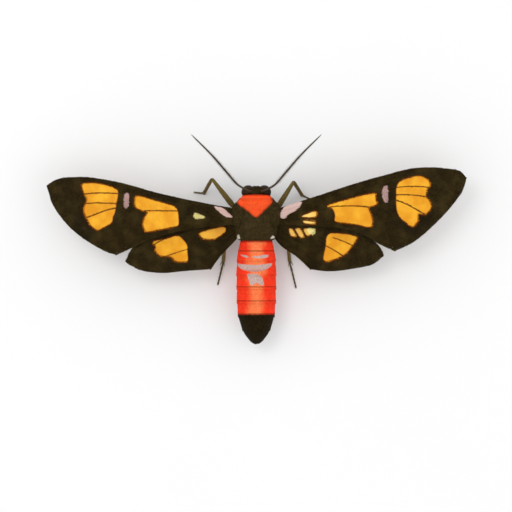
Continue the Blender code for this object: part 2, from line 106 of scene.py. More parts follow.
WING_OUTLINES = {
    "forewing_left": {
        "costa": ((2.0, 3.7), (6.4, 4.5), (12.0, 5.7), (17.2, 7.1), (21.8, 7.7), (24.6, 7.4), (26.0, 6.6)),
        "termen": ((26.0, 6.6), (25.2, 4.4), (23.3, 1.8), (19.9, -0.7), (18.2, -1.5), (17.2, -1.7)),
        "inner": ((2.0, 1.9), (6.5, 1.6), (10.2, 1.0), (13.0, 0.2), (15.6, -1.0), (17.2, -1.7)),
    },
    "forewing_right": {
        "costa": (
            (2.0, 3.6), (7.6, 5.4), (12.2, 6.9), (16.1, 8.0), (19.5, 8.8), (23.0, 8.8), (25.3, 8.3),
            (26.0, 7.5),
        ),
        "termen": ((26.0, 7.5), (25.7, 6.4), (24.5, 4.6), (22.1, 2.0), (19.1, -0.4), (17.0, -1.3)),
        "inner": ((2.0, 1.9), (6.0, 1.8), (10.4, 1.5), (13.1, 0.7), (15.2, -0.5), (17.0, -1.3)),
    },
    "hindwing_left": {
        "costa": ((1.8, 2.7), (6.0, 2.5), (10.5, 1.6), (14.0, 0.2), (15.4, -1.1), (16.3, -2.8)),
        "termen": ((16.3, -2.8), (14.6, -3.7), (12.2, -4.05), (8.7, -3.75), (5.6, -3.5)),
        "inner": ((1.8, 1.0), (2.7, -0.1), (4.4, -1.9), (5.6, -3.5)),
    },
    "hindwing_right": {
        "costa": ((1.8, 2.7), (6.0, 2.5), (10.5, 1.9), (13.5, 0.6), (15.3, -0.9), (15.85, -2.0)),
        "termen": ((15.85, -2.0), (14.6, -2.95), (12.2, -3.5), (9.0, -3.8), (6.7, -3.5)),
        "inner": ((1.8, 1.0), (3.0, -0.6), (5.0, -2.0), (6.7, -3.5)),
    },
}

# Each vein's place across the wing, 0 at the leading edge and 1 at the inner one, at these shares of the way
# out, then the share at which it starts
VEIN_STATIONS = (0.0, 0.35, 0.62, 0.85, 1.0)
WING_VEINS = {
    "forewing_left": (
        ((0.15, 0.08, 0.03, 0.03, 0.03), 0.0),
        ((0.3, 0.16, 0.065, 0.055, 0.06), 0.0),
        ((0.36, 0.25, 0.165, 0.197, 0.21), 0.62),
        ((0.4, 0.29, 0.335, 0.302, 0.31), 0.62),
        ((0.44, 0.32, 0.36, 0.455, 0.49), 0.62),
        ((0.5, 0.376, 0.454, 0.69, 0.74), 0.0),
        ((0.6, 0.5, 0.75, 0.8, 0.83), 0.68),
        ((0.82, 0.86, 0.89, 0.91, 0.93), 0.0),
    ),
    "forewing_right": (
        ((0.15, 0.1, 0.05, 0.04, 0.04), 0.0),
        ((0.34, 0.27, 0.11, 0.07, 0.07), 0.0),
        ((0.38, 0.33, 0.236, 0.219, 0.21), 0.62),
        ((0.42, 0.37, 0.352, 0.329, 0.33), 0.62),
        ((0.46, 0.4, 0.382, 0.489, 0.56), 0.64),
        ((0.5, 0.437, 0.553, 0.72, 0.76), 0.0),
        ((0.6, 0.57, 0.7, 0.81, 0.84), 0.7),
        ((0.66, 0.89, 0.91, 0.92, 0.93), 0.0),
    ),
    "hindwing_left": (
        ((0.18, 0.12, 0.07, 0.05, 0.05), 0.0),
        ((0.3, 0.22, 0.155, 0.15, 0.14), 0.0),
        ((0.5, 0.5, 0.6, 0.36, 0.3), 0.55),
        ((0.68, 0.7, 0.72, 0.73, 0.74), 0.0),
        ((0.82, 0.85, 0.87, 0.88, 0.89), 0.0),
    ),
    "hindwing_right": (
        ((0.2, 0.12, 0.06, 0.05, 0.05), 0.0),
        ((0.3, 0.33, 0.272, 0.215, 0.19), 0.6),
        ((0.4, 0.45, 0.5, 0.46, 0.47), 0.62),
        ((0.62, 0.66, 0.74, 0.77, 0.78), 0.0),
        ((0.82, 0.84, 0.87, 0.89, 0.9), 0.0),
    ),
}

# Clear windows and pale spots of each wing, as outlines seen from above with x growing outwards from the body
WINDOWS = {
    "forewing_left": (
        ((21.6, 6.9), (20.45, 7.0), (19.3, 6.9), (18.0, 6.6), (17.0, 6.1), (17.05, 5.3), (17.25, 4.3),
         (17.4, 3.4), (17.6, 2.9), (17.8, 2.0), (19.0, 1.4), (19.5, 1.1), (19.9, 1.3), (20.5, 1.8),
         (20.85, 2.5), (21.05, 2.9), (21.3, 3.6), (21.1, 4.3), (20.8, 4.9), (21.2, 5.65)),
        ((14.95, 5.55), (12.1, 4.7), (9.7, 4.05), (9.5, 2.0), (9.7, 1.6), (13.4, 0.9), (13.7, 1.0),
         (14.0, 1.8), (13.85, 2.6), (13.3, 3.4), (13.9, 3.5), (14.8, 3.85), (15.0, 4.3)),
    ),
    "forewing_right": (
        ((17.25, 7.15), (19.8, 7.9), (20.55, 7.75), (21.35, 7.25), (21.45, 6.6), (21.05, 6.25), (20.95, 5.7),
         (20.85, 5.3), (21.35, 4.8), (21.6, 4.1), (21.4, 3.6), (20.9, 3.1), (20.5, 3.1), (19.95, 3.2),
         (19.9, 2.7), (20.0, 2.3), (19.4, 1.6), (19.0, 1.6), (18.5, 2.0), (17.8, 2.6), (17.4, 3.2),
         (17.2, 4.3)),
        ((8.75, 4.3), (14.75, 5.9), (14.65, 5.0), (15.0, 4.35), (13.7, 3.95), (14.15, 3.1), (14.35, 2.3),
         (14.25, 1.55), (13.7, 1.5), (12.1, 1.9), (9.55, 2.15), (9.75, 2.95), (9.45, 3.8), (8.75, 3.9)),
        ((5.35, 2.85), (7.4, 3.65), (7.5, 2.75), (6.2, 2.7)),
        ((5.65, 2.4), (7.25, 2.45), (7.3, 1.85), (5.9, 1.95)),
    ),
    "hindwing_left": (
        ((12.8, -0.15), (11.6, 0.0), (10.8, 0.2), (10.2, 0.45), (9.6, 0.5), (9.2, 0.15), (8.8, -0.3),
         (8.5, -0.8), (8.55, -1.4), (8.45, -2.6), (8.6, -2.75), (10.1, -2.75), (10.45, -2.1), (12.0, -2.05),
         (12.6, -1.3), (12.4, -0.9), (12.75, -0.6)),
        ((7.2, 0.85), (5.6, 1.3), (4.2, 1.6), (3.8, 1.5), (3.8, 1.0), (4.4, 0.5), (5.2, 0.0), (6.7, 0.1)),
    ),
    "hindwing_right": (
        ((9.2, 0.85), (11.3, 0.7), (12.6, 0.35), (12.3, -0.15), (12.0, -0.65), (11.75, -0.9), (11.3, -1.6),
         (10.7, -2.0), (9.6, -2.5), (8.6, -2.75), (8.3, -2.5), (8.35, -1.8), (8.6, -1.0), (8.65, 0.1),
         (8.8, 0.5)),
        ((4.0, 1.4), (4.5, 1.4), (5.05, 0.4), (4.4, 0.35), (4.15, 0.7)),
        ((4.72, 1.42), (5.45, 1.45), (6.02, 0.28), (5.4, 0.2), (5.15, 0.7)),
        ((5.72, 1.45), (7.3, 1.3), (7.25, 1.05), (6.45, 0.45), (6.2, 0.5)),
    ),
}
LILAC_SPOTS = {
    "forewing_left": (
        ((16.2, 5.65), (15.65, 5.75), (15.55, 5.1), (15.75, 3.85), (16.2, 3.8), (16.3, 4.7)),
        ((5.35, 4.15), (4.1, 3.95), (3.35, 3.3), (2.75, 2.65), (3.8, 2.8), (4.55, 3.4)),
    ),
    "forewing_right": (
        ((15.55, 6.55), (16.2, 6.7), (16.2, 4.5), (15.65, 4.55), (15.4, 5.7)),
        ((2.9, 2.65), (2.95, 3.4), (3.65, 4.3), (4.2, 4.5), (5.7, 4.7), (5.3, 4.0), (4.6, 3.4), (3.85, 3.1),
         (3.55, 2.55)),
    ),
}
CREAM_SPOTS = {
    "forewing_left": (((7.65, 3.3), (6.95, 3.2), (6.05, 2.65), (7.4, 2.5), (7.7, 2.8)),),
    "hindwing_right": (((6.1, 1.5), (7.4, 1.4), (7.2, 0.6), (6.6, 0.6)),),
}
# The stretch over which the pale base of a wing ends, how much paler each wing's windows are there, and the
# depth that stands for a place far from any spot
PALE_BASE = (6.5, 8.5)
PALE_WINDOWS = {"forewing_left": 0.0, "forewing_right": 0.7, "hindwing_left": 0.1, "hindwing_right": 0.45}
FAR_AWAY = -9.0

# Wings in the order they are built: height of the root, and the rows of the membrane from root to outer edge.
# Then the columns of the membrane from each vein to the next
WING_KINDS = (("forewing_", FOREWING_ROOT_Z, 230), ("hindwing_", HINDWING_ROOT_Z, 150))
VEIN_COLUMNS = 11

# Skin of the body: half widths from above, from tail to brow, drawn in by the depth of the coat
BODY_OUTLINE = (
    (TAIL_Y, 0.02), (-12.82, 0.5), (-12.58, 0.88), (-12.2, 1.22), (-11.5, 1.71), (-10.7, 2.0), (-9.7, 2.32),
    (-8.35, 2.48), (-5.6, 2.56), (-2.8, 2.52), (-1.2, 2.35), (-0.25, 2.12), (-0.1, 2.1), (0.05, 2.28),
    (0.2, 2.45), (0.6, 2.62), (1.8, 2.86), (3.0, 2.92), (4.0, 2.8), (4.7, 2.5), (5.1, 2.2), (5.3, 1.95),
    (5.42, 1.55), (5.5, 1.12), (5.75, 1.12), (6.1, 1.05), (6.4, 0.78), (6.53, 0.45), (6.58, 0.02),
)
BODY_DEPTH = ((TAIL_Y, 0.88), (-0.3, 0.88), (0.6, 0.84), (4.8, 0.84), (5.45, 0.98), (6.58, 0.98))
COAT_DEPTH = 0.13
SEGMENT_STEP = 0.09

# Swellings of the skin, as place along the body, place round it in degrees from the right side, how far each
# reaches along and round, and its height: the covering over each wing's root, and the two lobes of the collar
LOBES = (
    (3.2, 33, 1.7, 21, 0.7),
    (3.2, 147, 1.7, 21, 0.7),
    (4.5, 62, 1.0, 30, 0.14),
    (4.5, 118, 1.0, 30, 0.14),
)

# Markings of the body, seen from above, with a painted shadow on a pale band and the reach of the
# painted shade down the abdomen's sides
COLLAR_OUTLINE = (
    (-2.1, 5.6), (1.9, 5.6), (2.0, 4.9), (1.95, 4.45), (1.1, 3.65), (0.1, 2.7), (-0.15, 2.7), (-1.3, 3.65),
    (-2.4, 4.45), (-2.4, 4.9),
)
PALE_BANDS = (
    ((-2.1, -1.8), (-1.0, -1.98), (-0.95, -2.28), (-1.6, -2.15)),
    ((-0.7, -2.05), (0.2, -2.0), (1.5, -1.78), (1.55, -2.1), (1.2, -2.3), (0.0, -2.32), (-0.6, -2.25)),
    ((-2.6, -2.9), (-1.0, -3.1), (0.5, -3.1), (2.0, -2.85), (1.9, -3.2), (1.4, -3.65), (0.4, -4.0),
     (-0.6, -4.0), (-1.9, -3.7)),
    ((-1.25, -4.3), (-0.9, -4.2), (0.2, -4.2), (0.75, -4.7), (1.0, -5.6), (0.55, -5.68), (0.05, -5.3),
     (-0.45, -5.68), (-0.8, -5.6), (-0.95, -4.9)),
)
# Painted shadow: places along the body and how strongly a pale band turns orange-pink there, at its rear edge
SALMON_SHADOW_STRETCH = ((-4.15, 0.0), (-3.95, 1.0), (-3.5, 0.0))
SHOULDER_SPOTS = (
    ((-2.6, 0.15), (-1.95, 0.0), (-2.0, 0.3), (-2.15, 0.7), (-2.35, 0.6), (-2.4, 0.35)),
    ((1.65, 0.1), (2.1, 0.05), (2.35, 0.3), (2.0, 0.55), (1.85, 0.35)),
)
DARK_LINES = (-1.4, -5.84, -7.57)
# How far out from the top, in millimetres, the abdomen goes from its lighter crown to its painted-shade red
# sides
FLANK_SHADE_REACH = 2.4

# Head fittings
EYE_CENTRE = (1.0, 5.92, 4.6)
EYE_RADIUS = 0.85
FACET_RISE = 0.012
PALP_PATH = ((0.55, 5.85, 3.75), (0.68, 6.15, 3.3), (0.76, 6.42, 3.45), (0.8, 6.54, 3.85))
PALP_WIDTHS = ((0.18, 0.22, 0.2), (0.17, 0.19, 0.15), (0.12, 0.12, 0.07))
TONGUE_CENTRE = (0.0, 6.15, 3.05)
TONGUE_RADIUS = 0.52
TONGUE_TURNS = 2.3
ANTENNA_PATH = (
    (0.5, 5.85, 4.9), (0.78, 5.95, 5.6), (2.23, 6.73, 6.1), (3.49, 8.11, 6.5), (5.3, 10.2, 6.95),
    (8.0, 12.9, 7.4),
)
ANTENNA_RINGS = 62
# At shares of the way out, the feeler's half width and the length of its teeth
ANTENNA_TAPER = (
    (0, 0.16), (0.02, 0.22), (0.05, 0.21), (0.075, 0.1), (0.09, 0.12), (0.5, 0.115), (0.9, 0.08), (1.0, 0.03),
)
ANTENNA_TEETH = ((0.13, 0.14), (0.3, 0.3), (0.6, 0.28), (1.0, 0.1))

# Legs, as places from hip to toe, the last two seen from above, and the half widths along each length
LEGS = {
    "leg_fore_left": ((1.0, 3.6, 3.2), (2.4, 3.6, 2.3), (5.5, 7.55, 4.6), (6.6, 5.9), (7.8, 6.0)),
    "leg_fore_right": ((1.0, 3.6, 3.2), (2.4, 3.6, 2.3), (4.65, 7.2, 4.6), (5.75, 5.65), (6.95, 5.1)),
    "leg_mid_left": ((1.0, 2.1, 3.0), (2.4, 1.95, 2.1), (5.0, 2.6, 4.1), (7.4, 1.2), (9.4, 0.4)),
    "leg_mid_right": ((1.0, 2.1, 3.0), (2.4, 1.95, 2.1), (5.0, 2.6, 4.1), (7.4, 1.2), (9.4, 0.4)),
    "leg_hind_left": ((0.9, 0.95, 3.0), (2.1, 0.55, 2.1), (3.8, 1.2, 3.9), (4.15, -2.7), (4.85, -5.6)),
    "leg_hind_right": ((0.9, 0.95, 3.0), (2.1, 0.55, 2.1), (3.8, 1.2, 3.9), (4.2, -2.7), (5.0, -6.0)),
}
FOOT_Z = 0.13
COXA_WIDTHS = (0.36, 0.42, 0.34)
FEMUR_WIDTHS = (0.22, 0.33, 0.31, 0.24, 0.17)
TIBIA_WIDTHS = (0.17, 0.2, 0.19, 0.19)
FOOT_WIDTHS = (0.085, 0.1, 0.13)
FOOT_JOINTS = (0.0, 0.38, 0.58, 0.74, 0.87, 1.0)
FLOOR_CLEARANCE = 0.06
SPUR_LENGTH = 0.85
SPUR_SPREAD = 0.3
SPUR_WIDTHS = (0.07, 0.06, 0.02)
SPUR_TIP_Z = 0.1
CLAW_REACH = 0.16
CLAW_DROP = 0.07

# Scales of the wings: length and width, lift in degrees, and how far apart they stand along and across.
# They may reach WINDOW_OVERLAP into a window. In it stand only those VEIN_NEAR a vein, and narrower ones
WING_SCALE = (0.27, 0.13)
WING_SCALE_LIFT = 7.0
WING_ROW = 0.13
WING_SPACING = 0.1
WINDOW_OVERLAP = 0.03
VEIN_NEAR = 0.06
VEIN_SCALE_SHARE = 0.6
FRINGE_SPACING = 0.045

# Coats of the body: the stretch they cover, how far apart the scales or tufts stand along and round it, their
# length and width, their lift in degrees, and 1 where they point forward
BODY_COATS = {
    "abdomen_scales": ((-12.75, THORAX_BACK_Y), (0.12, 0.12), (0.32, 0.18), 5.2, -1),
    "thorax_scales": ((THORAX_BACK_Y, HEAD_BACK_Y), (0.12, 0.11), (0.34, 0.17), 2.8, -1),
    "head_hair": ((HEAD_BACK_Y, 6.5), (0.075, 0.06), (0.3, 0.055), 24.0, 1),
}
REAR_ROW_LONGER = 1.35

# Coats of legs and palps: length and width of a scale, spacing along and round, and lift in degrees
LEG_COAT = ((0.24, 0.085), (0.11, 0.07), 9.0)
PALP_COAT = ((0.2, 0.075), (0.07, 0.05), 5.0)

# How deep the roots sink into the skin, how far sizes and lifts stray from the usual ones, and the width of
# the patch that each copy has on the map
BODY_SINK = 0.006
LIMB_SINK = 0.01
SIZE_STRAY = (0.84, 1.16)
LIFT_STRAY = (0.85, 1.15)
BAKE_PATCH = 0.003

# The studio: strength of the surround, and each lamp's place and size in millimetres and its power in watts
SURROUND = 0.93
LAMPS = {"key": ((-70, 60, 240), 90, 0.085), "fill": ((80, -60, 200), 120, 0.02)}

# Closed forms of one scale and one hair tuft: x from root to tip, y across and z off the skin, in shares of
# the length and of the width
SCALE_FORM = (
    np.array((
        (0, 0, 0), (0.6, -0.5, 0), (0.95, -0.3, -0.02), (1.0, 0.2, -0.02), (0.66, 0.5, 0), (0.5, 0, 0.025),
        (0.5, 0, -0.025),
    )),
    np.array([(k, (k + 1) % 5, 5) for k in range(5)] + [((k + 1) % 5, k, 6) for k in range(5)]),
)
HAIR_FORM = (
    np.array((
        (0, 0, 0.5), (0, -0.43, -0.25), (0, 0.43, -0.25), (0.5, 0, 0.85), (0.5, -0.36, 0.25),
        (0.5, 0.36, 0.25), (1, 0, 0),
    )),
    np.array((
        (2, 1, 0), (0, 1, 4), (0, 4, 3), (1, 2, 5), (1, 5, 4), (2, 0, 3), (2, 3, 5), (3, 4, 6), (4, 5, 6),
        (5, 3, 6),
    )),
)


class Number:
    """A number socket in a finish. Arithmetic on it adds Math nodes to the finish."""

    def __init__(self, finish, socket):
        self.finish = finish
        self.socket = socket

    def maths(self, operation, *values):
        made = self.finish.node("ShaderNodeMath", {"operation": operation}, dict(enumerate(values)))
        return Number(self.finish, made.outputs[0])

    def __add__(self, other):
        return self.maths("ADD", self, other)

    def __sub__(self, other):
        return self.maths("SUBTRACT", self, other)

    def __mul__(self, other):
        return self.maths("MULTIPLY", self, other)

    def __rsub__(self, other):
        return self.maths("SUBTRACT", other, self)

    __radd__ = __add__
    __rmul__ = __mul__

    def size(self):
        """The number without its sign."""
        return self.maths("ABSOLUTE", self)

    def band(self, low, high):
        """0 at low, 1 at high, and a smooth step between."""
        inputs = {"Value": self, "From Min": low, "From Max": high}
        made = self.finish.node("ShaderNodeMapRange", {"interpolation_type": "SMOOTHSTEP"}, inputs)
        return Number(self.finish, made.outputs["Result"])


class Finish:
    """One procedural material: a Principled shader and the nodes that feed it."""

    def __init__(self, name, roughness=0.6, specular=0.3):
        self.material = bpy.data.materials.new(name)
        self.material.use_nodes = True
        self.tree = self.material.node_tree
        self.shader = self.tree.nodes["Principled BSDF"]
        self.shader.inputs["Roughness"].default_value = roughness
        self.shader.inputs["Specular IOR Level"].default_value = specular
        self.place = self.node("ShaderNodeTexCoord").outputs["Object"]

    def node(self, kind, settings=None, inputs=None):
        made = self.tree.nodes.new(kind)
        for setting, value in (settings or {}).items():
            setattr(made, setting, value)
        for key, value in (inputs or {}).items():
            self.feed(made.inputs[key], value)
        return made

    def feed(self, socket, value):
        if isinstance(value, Number):
            value = value.socket
        if isinstance(value, bpy.types.NodeSocket):
            self.tree.links.new(value, socket)
        elif isinstance(value, tuple) and socket.type == "RGBA":
            socket.default_value = (*value, 1.0)
        else:
            socket.default_value = value

    def attribute(self, name):
        made = self.node("ShaderNodeAttribute", {"attribute_name": name})
        return Number(self, made.outputs["Fac"])

    def noise(self, size, detail=3.0):
        """Cloudy noise from 0 to 1 whose lumps are `size` millimetres across."""
        inputs = {"Vector": self.place, "Scale": 1 / (size * UNIT), "Detail": detail}
        return Number(self, self.node("ShaderNodeTexNoise", {}, inputs).outputs["Fac"])

    def mix(self, share, first, second):
        """The first colour, going over to the second as the share goes from 0 to 1."""
        made = self.node("ShaderNodeMix", {"data_type": "RGBA"}, {0: share, 6: first, 7: second})
        return made.outputs[2]

    def bump(self, height, depth):
        """Relief of `depth` millimetres, from a height between 0 and 1."""
        made = self.node("ShaderNodeBump", {}, {"Height": height, "Distance": depth * UNIT, "Strength": 1.0})
        self.feed(self.shader.inputs["Normal"], made.outputs[0])

    def colour(self, value):
        self.feed(self.shader.inputs["Base Color"], value)


def srgb(red, green, blue):
    """A colour as the drawing shows it, 0 to 255 a channel, as the linear values that look so in the studio's
    light. The reds go past 255, up to 286, as a coat's own shade takes about a quarter of its light."""
    shares = [channel / 255 for channel in (red, green, blue)]
    return tuple((s / 12.92 if s <= 0.04045 else ((s + 0.055) / 1.055) ** 2.4) / LIGHT for s in shares)


def smooth_curve(points, at):
    """Points at the fractions `at` of a smooth curve through the given ones, one cubic piece to a chord."""
    given = np.array(points, float)
    steps = np.linalg.norm(np.diff(given, axis=0), axis=1)
    knots = np.concatenate([[0.0], np.cumsum(steps)]) / steps.sum()
    slopes = np.gradient(given, knots, axis=0)
    place = np.clip(np.searchsorted(knots, at, side="right") - 1, 0, len(given) - 2)
    span = knots[place + 1] - knots[place]
    s = ((at - knots[place]) / span)[..., None]
    rise = span[..., None]
    return (
        (2 * s**3 - 3 * s**2 + 1) * given[place]
        + (s**3 - 2 * s**2 + s) * slopes[place] * rise
        + (3 * s**2 - 2 * s**3) * given[place + 1]
        + (s**3 - s**2) * slopes[place + 1] * rise
    )


def unit(vectors):
    return vectors / np.linalg.norm(vectors, axis=-1, keepdims=True)


def grid_quads(index):
    """Quads of a grid of vertex numbers, rows by columns."""
    return np.stack([index[:-1, :-1], index[1:, :-1], index[1:, 1:], index[:-1, 1:]], axis=-1).reshape(-1, 4)


def ring_faces(rings, sides):
    """Faces of a closed tube of rings, with a flat cap at each end."""
    index = np.arange(rings * sides).reshape(rings, sides)
    return [grid_quads(np.concatenate([index, index[:, :1]], axis=1)), index[:1], index[-1:, ::-1]]


def toned(points, tone):
    """One and the same tone for all the points of a plain skin."""
    return {"tone": np.full(len(points), tone)}


def tube(path, radii, sides, reference=UP):
    """A closed tube round a path: at each of its points a ring of the given radius, square to the path."""
    forward = unit(np.gradient(path, axis=0))
    side = unit(np.cross(forward, reference))
    up = np.cross(side, forward)
    turn = np.linspace(0, 2 * math.pi, sides, endpoint=False)
    ring = side[:, None] * np.cos(turn)[:, None] + up[:, None] * np.sin(turn)[:, None]
    return (path[:, None] + radii[:, None, None] * ring).reshape(-1, 3), ring_faces(len(path), sides)


def joined(shells):
    """One set of points and faces from several closed shells."""
    points, faces, count = [], [], 0
    for shell_points, shell_faces in shells:
        points.append(shell_points)
        faces += [face + count for face in shell_faces]
        count += len(shell_points)
    return np.concatenate(points), faces


def piece(name, points, faces, finish, nodes, attributes=None, bake_uv=None, smooth=True):
    """A finished mesh of points in millimetres and arrays of faces, riding on the body for its nodes."""
    mesh = bpy.data.meshes.new(name)
    points = np.asarray(points, float).reshape(-1, 3)
    corners = np.concatenate([face.ravel() for face in faces])
    sizes = np.concatenate([np.full(len(face), face.shape[1]) for face in faces])
    mesh.vertices.add(len(points))
    mesh.vertices.foreach_set("co", (points * UNIT).ravel())
    mesh.loops.add(len(corners))
    mesh.loops.foreach_set("vertex_index", corners.astype(np.int32))
    mesh.polygons.add(len(sizes))
    mesh.polygons.foreach_set("loop_start", (np.cumsum(sizes) - sizes).astype(np.int32))
    mesh.update(calc_edges=True)
    if smooth:
        mesh.shade_smooth()
    for key, values in (attributes or {}).items():
        layer = mesh.attributes.new(key, "FLOAT", "POINT")
        layer.data.foreach_set("value", np.asarray(values, float).ravel())
    if bake_uv is not None:
        layer = mesh.uv_layers.new(name="OFBake")
        layer.data.foreach_set("uv", bake_uv.reshape(-1, 2)[corners].ravel())
    obj = bpy.data.objects.new(name, mesh)
    bpy.context.scene.collection.objects.link(obj)
    obj.data.materials.append(finish.material)
    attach(obj, "root")
    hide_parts(*nodes)
    return obj


def surface_frame(surface, a, b, step_a, step_b):
    """Place, direction of growing a, and the direction off the surface, of a surface given over a and b."""
    along = surface(a + step_a, b) - surface(a - step_a, b)
    across = surface(a, b + step_b) - surface(a, b - step_b)
    return surface(a, b), unit(along), unit(np.cross(along, across))


def staggered(widths, spacing, rng):
    """Places `spacing` apart on rows of the given widths, as row numbers and shares of the way across. Every
    other row is shifted by half a space, and each place lies a little off its own."""
    counts = np.maximum(3, np.ceil(widths / spacing)).astype(int)
    row = np.repeat(np.arange(len(widths)), counts)
    place = np.arange(counts.sum()) - np.repeat(np.cumsum(counts) - counts, counts)
    shift = 0.25 + 0.5 * (row % 2) + rng.uniform(-0.2, 0.2, len(row))
    return row, (place + shift) / counts[row]


def laid(form, places, lies, normals, sizes, rng, waver=0.13):
    """Corners of copies of one closed form laid over a surface: root on the surface, length along the lie and
    tip lifted off it. `sizes` holds each copy's length, width and lift in radians. Each copy is turned off
    its lie by a random angle, `waver` radians as a rule."""
    corners = form[0]
    length, width, lift = [values[:, None] for values in sizes]
    yaw = rng.normal(0, waver, len(places))[:, None]
    lies = lies * np.cos(yaw) + np.cross(normals, lies) * np.sin(yaw)
    ahead = lies * np.cos(lift) + normals * np.sin(lift)
    off = normals * np.cos(lift) - lies * np.sin(lift)
    across = np.cross(off, ahead)
    return (
        places[:, None]
        + ahead[:, None] * (length * corners[:, 0])[..., None]
        + across[:, None] * (width * corners[:, 1])[..., None]
        + off[:, None] * (width * corners[:, 2])[..., None]
    )


def coat(name, form, points, marks, unwrap, finish, nodes, rng, smooth=False):
    """One mesh of the laid copies. `marks` holds the pattern for each copy or for each of its corners, and
    `unwrap` the place of each copy's root on the flattened skin."""
    corners, faces = form
    copies = faces + len(corners) * np.arange(len(points))[:, None, None]
    marks = dict(marks, tone=rng.uniform(0, 1, len(points)), reach=np.tile(corners[:, 0], (len(points), 1)))
    spread = {key: values.reshape(len(points), -1) for key, values in marks.items()}
    attributes = {key: np.broadcast_to(values, points.shape[:2]) for key, values in spread.items()}
    bake_uv = unwrap[:, None] + BAKE_PATCH * (corners[:, :2] - (0.5, 0.0))
    return piece(name, points, [copies.reshape(-1, 3)], finish, nodes, attributes, bake_uv, smooth)


def scattered_sizes(size, lift, count, rng):
    """Each scale's or tuft's length, width and lift in radians, a little off the usual ones."""
    vary = rng.uniform(*SIZE_STRAY, (2, count))
    return size[0] * vary[0], size[1] * vary[1], np.radians(lift * rng.uniform(*LIFT_STRAY, count))


def signed_distance(x, y, outline):
    """Distance in the plan from each place to the outline, positive inside it."""
    starts = np.array(outline, float)
    ends = np.roll(starts, -1, axis=0)
    along_x, along_y = (ends - starts).T
    from_x, from_y = x[..., None] - starts[:, 0], y[..., None] - starts[:, 1]
    share = np.clip((from_x * along_x + from_y * along_y) / (along_x**2 + along_y**2), 0, 1)
    nearest = np.hypot(from_x - along_x * share, from_y - along_y * share).min(axis=-1)
    straddles = (from_y >= 0) != (y[..., None] - ends[:, 1] >= 0)
    safe = np.where(along_y == 0, 1.0, along_y)
    crossings = (straddles & (from_x < along_x * from_y / safe)).sum(axis=-1)
    return np.where(crossings % 2 == 1, nearest, -nearest)


def softened(outline):
    """The outline with its corners cut twice, so that they come out round."""
    points = np.array(outline, float)
    for _ in range(2):
        following = np.roll(points, -1, axis=0)
        near, far = 0.8 * points + 0.2 * following, 0.2 * points + 0.8 * following
        points = np.stack([near, far], axis=1).reshape(-1, 2)
    return points


def patch_depth(x, y, outlines):
    """How deep each place lies inside the nearest outline, in millimetres, negative outside them all."""
    if not outlines:
        return np.full(x.shape, FAR_AWAY)
    return np.max([signed_distance(x, y, softened(outline)) for outline in outlines], axis=0)


def wing_place(outline, u, v):
    """Plan of the wing, blended between its edges: u goes from root to outer edge, v from front to back."""
    costa = smooth_curve(outline["costa"], u)
    inner = smooth_curve(outline["inner"], u)
    termen = smooth_curve(outline["termen"], v)
    near_costa, near_inner = np.array(outline["costa"][0]), np.array(outline["inner"][0])
    far_costa, far_inner = np.array(outline["costa"][-1]), np.array(outline["inner"][-1])
    u, v = u[..., None], v[..., None]
    root = near_costa + (near_inner - near_costa) * v
    corners = (1 - u) * ((1 - v) * near_costa + v * near_inner) + u * ((1 - v) * far_costa + v * far_inner)
    return (1 - v) * costa + v * inner + (1 - u) * root + u * termen - corners


def wing_height(x, y, root_z):
    """Height of the wing's middle surface: an arch from root to tip, less the droop behind its crest."""
    out = x / HALF_SPAN
    behind = CREST_Y + CREST_SWEEP * x - y
    return root_z + ARCH[0] * out + ARCH[1] * out**2 - CAMBER * behind**2


